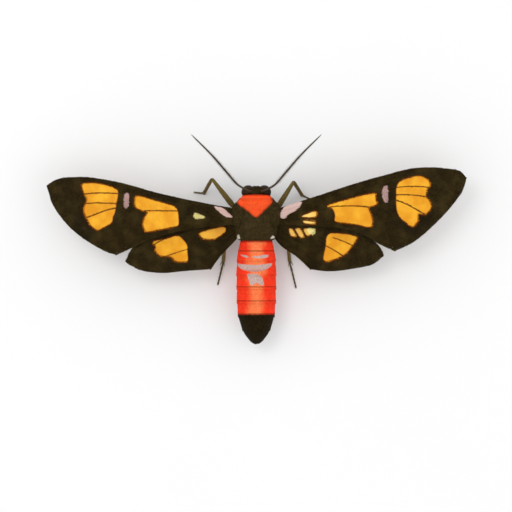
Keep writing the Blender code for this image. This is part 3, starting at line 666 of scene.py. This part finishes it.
class Wing:
    """One wing as a surface over u, from root to outer edge, and v, from leading to inner edge."""

    def __init__(self, name, side, root_z):
        self.name = name
        self.side = side
        self.root_z = root_z
        self.outline = WING_OUTLINES[name]
        self.veins = WING_VEINS[name]
        self.length = float(np.linalg.norm(np.ptp(np.array(self.outline["costa"]), axis=0)))

    def plan(self, u, v):
        """x outwards and y, the outer and inner edges drawn in by the length of the fringe."""
        place = wing_place(self.outline, u * (1 - FRINGE_SHARE[0]), v * (1 - FRINGE_SHARE[1] * u))
        return place[..., 0], place[..., 1]

    def middle(self, u, v):
        """The wing's middle surface in space."""
        x, y = self.plan(u, v)
        return np.stack([self.side * x, y, wing_height(x, y, self.root_z)], axis=-1)

    def width(self, u):
        """Width of the wing at the places u, from leading to inner edge."""
        return np.linalg.norm(self.middle(u, np.ones(u.shape)) - self.middle(u, np.zeros(u.shape)), axis=-1)

    def vein_gaps(self, u, v):
        """Millimetres across the wing from each place to each vein, with the veins last, far where a vein
        hasn't started."""
        lines = np.stack([np.interp(u, VEIN_STATIONS, places) for places, _ in self.veins], axis=-1)
        short = np.stack([np.clip((start - u) / 0.04, 0, 1) for _, start in self.veins], axis=-1)
        return np.abs(v[..., None] - lines) * self.width(u)[..., None] + 3.0 * short

    def columns(self, u):
        """Values of v for the grid's columns, close together at each vein and wide apart between two."""
        lines = np.stack([np.interp(u, VEIN_STATIONS, places) for places, _ in self.veins], axis=-1)
        knots = np.concatenate([np.zeros((len(u), 1)), lines, np.ones((len(u), 1))], axis=1)
        share = np.linspace(0, 1, VEIN_COLUMNS, endpoint=False)
        eased = share - 0.7 * np.sin(2 * math.pi * share) / (2 * math.pi)
        spans = knots[:, :-1, None] + (knots[:, 1:] - knots[:, :-1])[:, :, None] * eased
        return np.concatenate([spans.reshape(len(u), -1), knots[:, -1:]], axis=1)

    def marks(self, x, y):
        """The pattern's depths at places of the plan: windows, lilac and cream spots. Then how much a place
        belongs to the paler base of the wing, and how much paler a window is there."""
        base = np.clip((PALE_BASE[1] - x) / (PALE_BASE[1] - PALE_BASE[0]), 0, 1)
        return {
            "window": patch_depth(x, y, WINDOWS[self.name]),
            "lilac": patch_depth(x, y, LILAC_SPOTS.get(self.name, ())),
            "cream": patch_depth(x, y, CREAM_SPOTS.get(self.name, ())),
            "base": base,
            "pale": base * PALE_WINDOWS[self.name],
        }

    def half_thickness(self, u, v):
        """Half the wing's thickness: a membrane with round ridges along the veins, nothing at the edge."""
        width = self.width(u)
        ridge = np.exp(-((self.vein_gaps(u, v) / VEIN_WIDTH) ** 2)).max(axis=-1)
        ridge = ridge * VEIN_RISE * (1.25 - 0.6 * u)
        costa = np.exp(-((v * width / 0.2) ** 2)) * VEIN_RISE * 1.3
        edge = np.minimum(np.minimum(v, 1 - v) * width, (1 - u) * self.length)
        return (MEMBRANE / 2 + ridge + costa) * np.sqrt(np.clip(edge / EDGE_ROUND, 0, 1))

    def face(self, up):
        """The upper (1) or lower (-1) face as a surface over u and v."""

        def surface(u, v):
            points = self.middle(u, v)
            points[..., 2] += up * self.half_thickness(u, v)
            return points

        return surface


def wing_membrane(wing, finish, rows):
    """Upper and lower face of the wing, each half the thickness off its middle surface, sharing the edge."""
    out = np.linspace(0, 1, rows)
    v = wing.columns(out)
    u = np.repeat(out[:, None], v.shape[1], axis=1)
    middle = wing.middle(u, v)
    half = wing.half_thickness(u, v)
    half[0] = half[1]
    lift = np.zeros(middle.shape)
    lift[..., 2] = half
    inside = np.zeros(u.shape, bool)
    inside[:-1, 1:-1] = True
    upper_index = np.arange(u.size).reshape(u.shape)
    lower_index = upper_index.copy()
    lower_index[inside] = u.size + np.arange(inside.sum())
    points = np.concatenate([(middle + lift * inside[..., None]).reshape(-1, 3), (middle - lift)[inside]])
    marks = wing.marks(*wing.plan(u, v))
    marks["vein"] = wing.vein_gaps(u, v).min(axis=-1)
    marks["tone"] = np.full(u.shape, 0.5)
    marks = {key: np.concatenate([values.ravel(), values[inside]]) for key, values in marks.items()}
    top, bottom = grid_quads(upper_index), grid_quads(lower_index)[:, ::-1]
    root = np.concatenate([upper_index[0], lower_index[0, -2:0:-1]])[None, ::-1]
    if wing.side > 0:
        top, bottom, root = top[:, ::-1], bottom[:, ::-1], root[:, ::-1]
    return piece(wing.name + "_membrane", points, [top, bottom, root], finish, (wing.name,), marks)


def wing_scales(wing, finish, up, rng):
    """Overlapping scales over the dark parts of one face, in rows across the wing, pointing outwards, with
    narrow ones along the veins that cross the windows."""
    rows = int(wing.length / WING_ROW)
    middles = (np.arange(rows) + 0.5) / rows
    row, v = staggered(wing.width(middles), WING_SPACING, rng)
    u = middles[row] + rng.uniform(-0.3, 0.3, len(row)) / rows
    places, lies, normals = surface_frame(wing.face(up), u, v, 0.004, 0.004)
    normals *= np.sign(normals[:, 2:]) * up
    vein = wing.vein_gaps(u, v).min(axis=-1)
    half_way = places + lies * WING_SCALE[0] * 0.5
    marks = wing.marks(wing.side * half_way[:, 0], half_way[:, 1])
    tips = places + lies * WING_SCALE[0]
    tip_depth = patch_depth(wing.side * tips[:, 0], tips[:, 1], WINDOWS[wing.name])
    covered = np.maximum(marks["window"], tip_depth) < WINDOW_OVERLAP
    on_vein = ~covered & (vein < VEIN_NEAR)
    marks["vein"] = np.where(on_vein, 0.0, 1.0)
    length, width, lift = scattered_sizes(WING_SCALE, WING_SCALE_LIFT, len(u), rng)
    width = np.where(on_vein, VEIN_SCALE_SHARE * width, width)
    keep = (covered | on_vein) & (u > 0.02) & (u < 0.995)
    marks = {key: values[keep] for key, values in marks.items()}
    sizes = [values[keep] for values in (length, width, lift)]
    points = laid(SCALE_FORM, places[keep], lies[keep], normals[keep], sizes, rng)
    unwrap = np.stack([u, v], axis=-1)[keep]
    name = wing.name + ("_scales_upper" if up > 0 else "_scales_lower")
    return coat(name, SCALE_FORM, points, marks, unwrap, finish, (wing.name,), rng)


def wing_fringe(wing, finish, rng):
    """Two layers of long narrow scales that stand out past the outer edge and, shorter, the inner one."""
    outer = np.arange(0.01, 1.0, FRINGE_SPACING / wing.width(np.array([0.75]))[0])
    inner = np.arange(0.12, 1.0, FRINGE_SPACING / wing.length)
    u = np.concatenate([np.full(len(outer), 0.994), inner])
    v = np.concatenate([outer, np.full(len(inner), 0.99)])
    at_end = np.concatenate([np.ones(len(outer), bool), np.zeros(len(inner), bool)])
    reach = np.where(at_end, FRINGE_SHARE[0] * wing.length, FRINGE_SHARE[1] * u * wing.width(u)) + 0.12
    reach *= np.where(at_end, np.clip(v / 0.15, 0.7, 1), 1)
    for layer, up in (("upper", 1), ("lower", -1)):
        place, out, normal = surface_frame(wing.middle, u, v, 0.004, 0.004)
        _, back, _ = surface_frame(lambda b, a: wing.middle(a, b), v, u, 0.004, 0.004)
        edge = np.where(at_end[:, None], back, out)
        lie = np.where(at_end[:, None], out, back)
        lie = unit(lie - edge * (lie * edge).sum(axis=-1, keepdims=True))
        normal *= np.sign(normal[:, 2:]) * up
        place = place + normal * 0.02 + edge * rng.uniform(-0.02, 0.02, (len(u), 1))
        length = reach * rng.uniform(0.88, 1.08, len(u))
        sizes = (length, np.full(len(u), 1.6 * FRINGE_SPACING), np.full(len(u), 0.02))
        marks = {key: np.full(len(u), FAR_AWAY) for key in ("window", "lilac", "cream")}
        marks["vein"] = np.ones(len(u))
        points = laid(SCALE_FORM, place, lie, normal, sizes, rng, waver=0.05)
        coat(f"{wing.name}_fringe_{layer}", SCALE_FORM, points, marks, np.stack([u, v], axis=-1),
             finish, (wing.name,), rng)


def wing_finish(name, specular, relief):
    """Dark scales with clear orange panes, thin brown veins across the panes, and lilac and cream spots."""
    made = Finish(name, roughness=0.55, specular=specular)
    window = made.attribute("window") + (made.noise(0.5) - 0.5) * 0.08
    tone = made.attribute("tone") * 0.65 + made.attribute("reach") * 0.35
    dark = made.mix(tone, srgb(26, 18, 3), srgb(62, 48, 18))
    ground = made.mix(made.noise(1.6, 4.0).band(0.4, 0.75) * 0.8, dark, srgb(78, 64, 30))
    ground = made.mix(made.noise(4.0, 2.0).band(0.5, 0.68) * 0.45, ground, srgb(28, 24, 14))
    ground = made.mix(window.band(-0.16, -0.05) * 0.8, ground, srgb(122, 56, 14))
    pane = made.mix(made.noise(1.8, 3.0).band(0.35, 0.7), srgb(228, 150, 18), srgb(246, 179, 40))
    pane = made.mix(made.attribute("pale"), pane, srgb(255, 226, 132))
    pane = made.mix(window.band(0.16, 0.02) * 0.6, pane, srgb(206, 122, 26))
    pane = made.mix(made.attribute("vein").band(0.09, 0.04) * 0.9, pane, srgb(112, 62, 18))
    colour = made.mix(window.band(-0.03, 0.03), ground, pane)
    lilac = made.mix(made.noise(0.8).band(0.35, 0.7), srgb(196, 156, 150), srgb(216, 176, 170))
    lilac = made.mix(made.attribute("base"), lilac, srgb(255, 219, 209))
    colour = made.mix(made.attribute("lilac").band(-0.03, 0.05), colour, lilac)
    made.colour(made.mix(made.attribute("cream").band(-0.03, 0.05), colour, srgb(255, 238, 154)))
    made.bump(made.noise(0.14, 2.0), relief)
    return made


def build_wings(rng):
    skin = wing_finish("wing_membrane", 0.15, 0.012)
    scales = wing_finish("wing_scales", 0.05, 0.006)
    for side_name, side in SIDES:
        for kind, root_z, rows in WING_KINDS:
            wing = Wing(kind + side_name, side, root_z)
            wing_membrane(wing, skin, rows)
            wing_fringe(wing, scales, rng)
            for up in (1, -1):
                wing_scales(wing, scales, up, rng)


def outline_at(outline, along):
    """The outline's second number at each place along the body, off the smooth curve through its points."""
    dense = smooth_curve(outline, np.linspace(0, 1, 1200))
    return np.interp(along, np.maximum.accumulate(dense[:, 0]), dense[:, 1])


def body_axis_z(y):
    """Height of the body's axis: level through the thorax, drooping to the tail and a little to the head."""
    heights = (THORAX_AXIS_Z + ABDOMEN_DROOP * TAIL_Y, THORAX_AXIS_Z, THORAX_AXIS_Z, HEAD_AXIS_Z)
    return np.interp(y, (TAIL_Y, THORAX_BACK_Y, THORAX_FRONT_Y, HEAD_Y), heights)


def segment_share(y):
    """0 at the front of each tergite and 1 at its back edge."""
    return np.mod((DARK_TIP_Y - y) / SEGMENT, 1.0)


def lobe_height(y, turn):
    """How far the swellings raise the skin, each a dome over its own stretch of the body."""
    height = np.zeros(y.shape)
    for along, round_deg, reach, reach_deg, rise in LOBES:
        away = ((y - along) / reach) ** 2 + ((turn - math.radians(round_deg)) / math.radians(reach_deg)) ** 2
        height = height + rise * np.sqrt(np.clip(1 - away, 0, 1))
    return height


def body_surface(y, turn, segment_step=SEGMENT_STEP):
    """The skin: an upright ellipse at each place along the body, with the swellings and with a step of
    `segment_step` at each tergite."""
    half_width = outline_at(BODY_OUTLINE, y)
    depth = np.interp(y, *np.array(BODY_DEPTH).T)
    step = segment_step * (segment_share(y) - 0.6) * (y < FIRST_SEGMENT_Y) * np.minimum(1.0, half_width)
    radius = np.maximum(half_width - COAT_DEPTH * np.minimum(1.0, half_width * 2), 0.01) + step
    lobe = lobe_height(y, np.mod(turn, 2 * math.pi))
    x = (radius + lobe) * np.cos(turn)
    z = body_axis_z(y) + (depth * radius + lobe) * np.sin(turn)
    return np.stack([x, y, z], axis=-1)


def body_marks(points):
    """The body's pattern at each place, in millimetres inside each mark: collar, belt of the abdomen, pale
    bands, white spots and dark tail. Then how far ahead of the nearest dark line the place is, how far out
    towards the flanks it lies, for the painted shade that turns the abdomen deeper red there, and how much
    of the painted orange-pink shadow it takes."""
    x, y, z = points[..., 0], points[..., 1], points[..., 2]
    above = np.clip((z - body_axis_z(y)) / 0.3, -1, 1)
    rings = y[..., None] - DARK_LINES
    nearest = np.abs(rings).argmin(axis=-1)[..., None]
    left = patch_depth(-x, y, LILAC_SPOTS["forewing_left"][1:])
    right = patch_depth(x, y, LILAC_SPOTS["forewing_right"][1:])
    pale = np.maximum(np.maximum(left, right), patch_depth(x, y, PALE_BANDS))
    return {
        "collar": np.minimum(patch_depth(x, y, (COLLAR_OUTLINE,)), above),
        "belt": np.minimum(y - DARK_TIP_Y, BELT_FRONT_Y - y),
        "pale": np.minimum(pale, above),
        "spot": np.minimum(patch_depth(x, y, SHOULDER_SPOTS), above),
        "ring": np.take_along_axis(rings, nearest, axis=-1)[..., 0],
        "tail": DARK_TIP_Y - y,
        "flank_shade": np.clip(np.hypot(x, np.minimum(z - body_axis_z(y), 0)) / FLANK_SHADE_REACH, 0, 1),
        "salmon_shadow": np.interp(y, *zip(*SALMON_SHADOW_STRETCH)),
    }


def body_skin(finish, rows=320, sides=144):
    """The body's surface on a grid, rows along it, rings closed, with a small cap at each end."""
    share = np.linspace(0, 1, rows)
    eased = 0.5 - 0.5 * np.cos(math.pi * share)
    y = TAIL_Y + (BODY_OUTLINE[-1][0] - TAIL_Y) * (0.75 * share + 0.25 * eased)
    turn = np.linspace(0, 2 * math.pi, sides, endpoint=False)
    grid_y, grid_turn = np.meshgrid(y, turn, indexing="ij")
    points = body_surface(grid_y, grid_turn)
    marks = body_marks(points)
    marks["tone"] = np.full(grid_y.shape, 0.4)
    nodes = ("head", "thorax", "collar", "abdomen", "abdomen_tip")
    return piece("body_skin", points, ring_faces(rows, sides), finish, nodes, marks)


def body_roots(start, end, row, spacing, rng):
    """Places y and turn in rings round the body, `row` apart along its outline, `spacing` apart round it."""
    y = np.linspace(start, end, 800)
    run = np.cumsum(np.hypot(np.gradient(y), np.gradient(outline_at(BODY_OUTLINE, y))))
    rings = np.interp(np.arange(run[0] + row / 2, run[-1], row), run, y)
    ring, share = staggered(2 * math.pi * 0.9 * outline_at(BODY_OUTLINE, rings), spacing, rng)
    return rings[ring] + rng.uniform(-0.25, 0.25, len(ring)) * row, 2 * math.pi * share


def body_coat(name, form, finish, nodes, rng, smooth=False):
    """Scales or hair over one stretch of the body, clear of the eyes. They lie back, or forward on the head,
    along the skin as it would be without its steps. Those at the back edge of a tergite are the longest."""
    stretch, spacing, size, lift, forward = BODY_COATS[name]
    y, turn = body_roots(*stretch, *spacing, rng)
    places = body_surface(y, turn)
    _, lies, normals = surface_frame(lambda a, b: body_surface(a, b, 0.0), y, turn, 0.04, 0.02)
    lies = lies * forward
    half_way = places + lies * size[0] * 0.5
    away = [np.linalg.norm(half_way - (side * EYE_CENTRE[0], *EYE_CENTRE[1:]), axis=-1) for _, side in SIDES]
    keep = np.min(away, axis=0) > EYE_RADIUS + 0.02
    unwrap = np.stack([turn / (2 * math.pi), (y - TAIL_Y) / (BODY_OUTLINE[-1][0] - TAIL_Y)], axis=-1)
    length, width, lifts = scattered_sizes(size, lift, len(y), rng)
    length = np.where((segment_share(y) > 0.85) & (y < FIRST_SEGMENT_Y), REAR_ROW_LONGER * length, length)
    sizes = [values[keep] for values in (length, width, lifts)]
    points = laid(form, places[keep] - normals[keep] * BODY_SINK, lies[keep], normals[keep], sizes, rng)
    return coat(name, form, points, body_marks(points), unwrap[keep], finish, nodes, rng, smooth)


def body_finish(name):
    """Brown-black with a red collar, an orange-red abdomen, pale lilac bands, white shoulder spots and thin
    dark lines between tergites. Each scale goes from a darker root to a lighter tip. Painted shade: the
    abdomen is lighter orange on top and deeper red down its sides, the collar is darker at its rim, partly
    as its edge line, and a pale band turns orange-pink at its rear edge as a painted shadow."""
    made = Finish(name, roughness=0.6, specular=0.05)
    tone = made.attribute("tone") * 0.65 + made.attribute("reach") * 0.35
    edge = (made.noise(0.6) - 0.5) * 0.15
    ground = made.mix(tone, srgb(36, 27, 8), srgb(80, 66, 34))
    ground = made.mix(made.noise(1.3, 3.0).band(0.5, 0.75) * 0.5, ground, srgb(88, 76, 46))
    tail = made.mix(tone, srgb(18, 11, 0), srgb(48, 36, 8))
    ground = made.mix(made.attribute("tail").band(-0.1, 0.1), ground, tail)
    # Painted shade: the belt is lighter orange on its crown and deeper red down its round sides
    flank_shade = made.mix(tone, srgb(280, 50, 24), srgb(286, 78, 42))
    crown = made.mix(tone, srgb(286, 126, 66), srgb(286, 160, 100))
    side_shading = made.attribute("flank_shade") + (made.noise(1.8, 3.0) - 0.5) * 0.8
    belt = made.mix(side_shading.band(0.15, 0.6), crown, flank_shade)
    belt = made.mix(made.attribute("ring").size().band(0.09, 0.02) * 0.8, belt, srgb(132, 38, 14))
    belt = made.mix((made.attribute("belt") + edge).band(0.3, 0.05) * 0.8, belt, srgb(130, 26, 12))
    colour = made.mix((made.attribute("belt") + edge).band(-0.05, 0.05), ground, belt)
    collar = made.mix(tone, srgb(286, 84, 30), srgb(286, 118, 60))
    # Darker red within 0.3 mm of the collar's rim: partly its edge line, partly painted shade where it turns
    # down
    collar = made.mix((made.attribute("collar") + edge).band(0.3, 0.02) * 0.6, collar, srgb(176, 34, 14))
    colour = made.mix((made.attribute("collar") + edge).band(-0.05, 0.05), colour, collar)
    pale = made.mix(tone, srgb(212, 172, 164), srgb(240, 210, 202))
    # Painted shadow: an orange-pink tint over the rear edge of the second pale band
    pale = made.mix(made.attribute("salmon_shadow") * 0.8, pale, srgb(232, 138, 104))
    colour = made.mix((made.attribute("pale") + edge).band(-0.05, 0.08), colour, pale)
    made.colour(made.mix((made.attribute("spot") + edge).band(-0.05, 0.08), colour, srgb(242, 232, 208)))
    made.bump(made.noise(0.12, 2.0), 0.006)
    return made


def build_body(rng):
    body_skin(body_finish("body_skin"))
    finish = body_finish("body_coat")
    body_coat("abdomen_scales", SCALE_FORM, finish, ("abdomen", "abdomen_tip"), rng)
    body_coat("thorax_scales", SCALE_FORM, finish, ("thorax", "collar"), rng)
    body_coat("head_hair", HAIR_FORM, finish, ("head",), rng, smooth=True)


def eye_surface(centre):
    """A ball of six-sided facets: each point of a fine geodesic ball is a crown, and the middle of each of
    its triangles a corner where three facets meet, sunk a little."""
    built = bmesh.new()
    bmesh.ops.create_icosphere(built, subdivisions=5, radius=1.0)
    ball = bpy.data.meshes.new("ball")
    built.to_mesh(ball)
    built.free()
    crowns = np.empty(len(ball.vertices) * 3)
    ball.vertices.foreach_get("co", crowns)
    crowns = unit(crowns.reshape(-1, 3))
    triangles = np.empty(len(ball.polygons) * 3, np.int32)
    ball.polygons.foreach_get("vertices", triangles)
    triangles = triangles.reshape(-1, 3)
    bpy.data.meshes.remove(ball)
    hollows = unit(crowns[triangles].mean(axis=1))
    starts = triangles.ravel()
    ends = np.roll(triangles, -1, axis=1).ravel()
    owner = np.repeat(np.arange(len(triangles)), 3)
    order = np.argsort(np.minimum(starts, ends) * len(crowns) + np.maximum(starts, ends))
    first, second = order[0::2], order[1::2]
    near, far = len(crowns) + owner[first], len(crowns) + owner[second]
    halves = ((starts[first], far, near), (ends[first], near, far))
    faces = np.concatenate([np.stack(half, axis=1) for half in halves])
    points = np.concatenate([crowns * EYE_RADIUS, hollows * (EYE_RADIUS - FACET_RISE)]) + np.array(centre)
    return points, [faces]


def eye_finish():
    """Near-black brown under a clear wet surface, with a soft dark mottle."""
    made = Finish("eye", roughness=0.3, specular=0.1)
    made.colour(made.mix(made.noise(0.5).band(0.35, 0.7), srgb(26, 13, 0), srgb(54, 34, 6)))
    made.shader.inputs["Coat Weight"].default_value = 0.05
    made.shader.inputs["Coat Roughness"].default_value = 0.15
    return made


def horn_finish(name, dark, light, specular=0.25):
    """Horn, or a limb's scales, which are darker at the root and lighter at the tip, with a fine mottle."""
    made = Finish(name, roughness=0.5, specular=specular)
    share = made.attribute("tone") * 0.45 + made.attribute("reach") * 0.3 + made.noise(0.3) * 0.25
    made.colour(made.mix(share, dark, light))
    made.bump(made.noise(0.06, 2.0), 0.008)
    return made


def antenna(side_name, side, finish, rng):
    """A ringed shaft, tapered and thick at its first joint, with a short tooth on each side of each ring."""
    name = "antenna_" + side_name
    path = [(side * x, y, z) for x, y, z in ANTENNA_PATH]
    share = np.linspace(0, 1, ANTENNA_RINGS * 6)
    taper = np.interp(share, *np.array(ANTENNA_TAPER).T)
    rings = 1 + 0.14 * np.sin(2 * math.pi * share * ANTENNA_RINGS) * (share > 0.08)
    points, faces = tube(smooth_curve(path, share), taper * rings, 14)
    piece(name + "_shaft", points, faces, finish, (name,), toned(points, 0.35))
    at = np.repeat(np.linspace(ANTENNA_TEETH[0][0], 0.97, ANTENNA_RINGS), 2)
    roots = smooth_curve(path, at)
    ahead = unit(smooth_curve(path, at + 0.01) - roots)
    across = unit(np.cross(ahead, UP)) * np.tile((1.0, -1.0), ANTENNA_RINGS)[:, None]
    length = np.interp(at, *np.array(ANTENNA_TEETH).T)
    sizes = (length, length * 0.24, np.zeros(len(at)))
    lies = unit(across + ahead * 0.45)
    normals = unit(np.cross(lies, np.cross(UP, lies)))
    unwrap = np.stack([at, np.tile((0.25, 0.75), ANTENNA_RINGS)], axis=-1)
    points = laid(HAIR_FORM, roots + across * 0.05, lies, normals, sizes, rng)
    coat(name + "_teeth", HAIR_FORM, points, {}, unwrap, finish, (name,), rng, smooth=True)


class Limb:
    """One straight length of leg or palp: rings about its axis, closing in a round end at each joint."""

    def __init__(self, start, end, widths):
        self.start = np.array(start, float)
        self.axis = np.array(end, float) - self.start
        self.length = float(np.linalg.norm(self.axis))
        self.axis /= self.length
        self.side = unit(np.cross(self.axis, UP))
        self.up = np.cross(self.side, self.axis)
        self.widths = widths

    def radius(self, share):
        """Half width at a share of the way along, rounded off over the last stretch at each end."""
        full = np.interp(share, np.linspace(0, 1, len(self.widths)), self.widths)
        near = np.clip(1 - share * self.length / self.widths[0], 0, 0.995)
        far = np.clip(1 - (1 - share) * self.length / self.widths[-1], 0, 0.995)
        return full * np.sqrt(1 - near**2) * np.sqrt(1 - far**2)

    def surface(self, share, turn):
        ring = self.side * np.cos(turn)[..., None] + self.up * np.sin(turn)[..., None]
        along = self.axis * (share * self.length)[..., None]
        return self.start + along + ring * self.radius(share)[..., None]

    def shell(self, rows=26, sides=16):
        """The closed surface, its rings closest together at the rounded ends."""
        share = 0.5 - 0.5 * np.cos(np.linspace(0, math.pi, rows))
        turn = np.linspace(0, 2 * math.pi, sides, endpoint=False)
        points = self.surface(*np.meshgrid(share, turn, indexing="ij"))
        return points.reshape(-1, 3), ring_faces(rows, sides)

    def roots(self, spacing, rng):
        """Places for scales over the length, as a share along it and a turn round it."""
        middles = np.linspace(0.05, 0.95, max(3, int(self.length / spacing[0])))
        ring, around = staggered(2 * math.pi * self.radius(middles), spacing[1], rng)
        return middles[ring], 2 * math.pi * around


def limb_scales(name, limbs, measures, finish, nodes, rng):
    """Scales over several lengths as one mesh, pointing towards the toe and clear of the floor. Each length
    has its own strip of the map."""
    size, spacing, lift = measures
    gathered = []
    for n, limb in enumerate(limbs):
        share, turn = limb.roots(spacing, rng)
        places, lies, normals = surface_frame(limb.surface, share, turn, 0.01, 0.05)
        strip = np.stack([turn / (2 * math.pi), (n + share) / len(limbs)], axis=-1)
        shrink = np.clip(limb.radius(share) / 0.16, 0.6, 1.0)
        clear = np.minimum(places[:, 2], (places + lies * size[0])[:, 2]) > FLOOR_CLEARANCE
        roots = places - normals * LIMB_SINK
        gathered.append([values[clear] for values in (roots, lies, normals, strip, shrink)])
    places, lies, normals, unwrap, shrink = [np.concatenate(column) for column in zip(*gathered)]
    length, width, lifts = scattered_sizes(size, lift, len(places), rng)
    points = laid(SCALE_FORM, places, lies, normals, (length * shrink, width * shrink, lifts), rng)
    return coat(name, SCALE_FORM, points, {}, unwrap, finish, nodes, rng)


def claws(toe, ahead):
    """Two small hooks that curve forward and down from the end of the foot."""
    across = unit(np.cross(ahead, UP))
    bend = np.linspace(0, 1, 8)[:, None]
    drop = np.array((0, 0, CLAW_DROP)) * bend**2
    shells = []
    for spread in (-1, 1):
        path = toe + ahead * CLAW_REACH * bend + across * spread * (0.03 + 0.08 * bend) - drop
        shells.append(tube(path, np.linspace(0.035, 0.008, 8), 6))
    return shells


def leg(name, finish, scale_finish, rng):
    """Hip, thigh, shin with its spurs, five joints of foot and two claws, and the scales over them."""
    side = -1 if name.endswith("left") else 1
    joints = [np.array((side * x, *rest, FOOT_Z)[:3]) for x, *rest in LEGS[name]]
    widths = (COXA_WIDTHS, FEMUR_WIDTHS, TIBIA_WIDTHS)
    limbs = [Limb(*length) for length in zip(joints, joints[1:], widths)]
    ankle, toe = joints[3:]
    foot = [ankle + (toe - ankle) * share for share in FOOT_JOINTS]
    limbs += [Limb(near, far, FOOT_WIDTHS) for near, far in zip(foot, foot[1:])]
    ahead = unit(toe - ankle)
    shells = [limb.shell() for limb in limbs] + claws(toe, ahead)
    if "fore" not in name:
        across = unit(np.cross(ahead, UP))
        root = ankle + 0.06 * (joints[2] - ankle)
        for spread in (-SPUR_SPREAD, SPUR_SPREAD):
            tip = root + SPUR_LENGTH * ahead + spread * across
            tip[2] = SPUR_TIP_Z
            shells.append(Limb(root, tip, SPUR_WIDTHS).shell(16, 10))
    points, faces = joined(shells)
    piece(name + "_skin", points, faces, finish, (name,), toned(points, 0.35))
    limb_scales(name + "_scales", limbs, LEG_COAT, scale_finish, (name,), rng)


def build_head_parts(rng):
    eye = eye_finish()
    horn = horn_finish("horn", srgb(40, 28, 12), srgb(92, 74, 40))
    palp_scales = horn_finish("palp_scales", srgb(40, 28, 8), srgb(92, 70, 30), 0.05)
    for side_name, side in SIDES:
        points, faces = eye_surface((side * EYE_CENTRE[0], *EYE_CENTRE[1:]))
        piece("eye_" + side_name + "_facets", points, faces, eye, ("eye_" + side_name,))
        antenna(side_name, side, horn, rng)
        palp = "palp_" + side_name
        joints = [(side * x, y, z) for x, y, z in PALP_PATH]
        limbs = [Limb(*length) for length in zip(joints, joints[1:], PALP_WIDTHS)]
        points, faces = joined([limb.shell(20, 14) for limb in limbs])
        piece(palp + "_skin", points, faces, horn, (palp,), toned(points, 0.3))
        limb_scales(palp + "_scales", limbs, PALP_COAT, palp_scales, (palp,), rng)
    turn = np.linspace(0, 2 * math.pi * TONGUE_TURNS, 150)
    reach = TONGUE_RADIUS * (1 - 0.62 * turn / turn[-1])
    coil = np.stack([0 * turn, reach * np.sin(turn), reach * np.cos(turn)], axis=-1) + np.array(TONGUE_CENTRE)
    points, faces = tube(coil, np.linspace(0.1, 0.05, len(turn)), 12, reference=(1.0, 0.0, 0.0))
    piece("proboscis_coil", points, faces, horn, ("proboscis",), toned(points, 0.7))


def build_legs(rng):
    skin = horn_finish("leg_skin", srgb(66, 52, 22), srgb(112, 94, 50))
    scales = horn_finish("leg_scales", srgb(88, 70, 28), srgb(166, 142, 82), 0.05)
    for name in LEGS:
        leg(name, skin, scales, rng)


def studio():
    """Pale floor, an even surround, a soft light overhead from the upper left and a fainter one across."""
    bpy.ops.mesh.primitive_plane_add(size=40 * HALF_SPAN * UNIT)
    floor = bpy.context.object
    floor.name = "floor"
    finish = Finish("floor", roughness=0.9, specular=0.1)
    finish.colour(finish.mix(finish.noise(30.0), srgb(246, 246, 246), srgb(249, 249, 249)))
    floor.data.materials.append(finish.material)
    world = bpy.data.worlds.new("surround")
    world.use_nodes = True
    surround = world.node_tree.nodes["Background"]
    surround.inputs["Color"].default_value = (1, 1, 1, 1)
    surround.inputs["Strength"].default_value = SURROUND * LIGHT
    bpy.context.scene.world = world
    for name, (place, size, power) in LAMPS.items():
        light = bpy.data.lights.new(name, "AREA")
        light.size = size * UNIT
        light.energy = power * LIGHT
        lamp = bpy.data.objects.new(name, light)
        lamp.location = [value * UNIT for value in place]
        bpy.context.scene.collection.objects.link(lamp)
        aim_at(lamp, (0, 0, 5 * UNIT))


def aim_at(obj, target):
    direction = mathutils.Vector(target) - obj.location
    obj.rotation_euler = direction.to_track_quat("-Z", "Y").to_euler()


def camera():
    """Straight down on the moth with a long lens, framed as the drawing frames it."""
    data = bpy.data.cameras.new("camera")
    data.lens = LENS
    data.sensor_width = SENSOR
    view = bpy.data.objects.new("camera", data)
    width = PHOTO_SIDE * MM_PER_PIXEL
    view.location = (
        (PHOTO_SIDE / 2 - MOTH_PIXEL[0]) * MM_PER_PIXEL * UNIT,
        (MOTH_PIXEL[1] - PHOTO_SIDE / 2) * MM_PER_PIXEL * UNIT,
        (FOREWING_ROOT_Z + width * LENS / SENSOR) * UNIT,
    )
    data.clip_start = 0.01
    data.clip_end = 10.0
    bpy.context.scene.collection.objects.link(view)
    bpy.context.scene.camera = view


draw = np.random.default_rng(SEED)
camera()
studio()
build_wings(draw)
build_body(draw)
build_head_parts(draw)
build_legs(draw)
bpy.context.scene.view_settings.view_transform = "Standard"
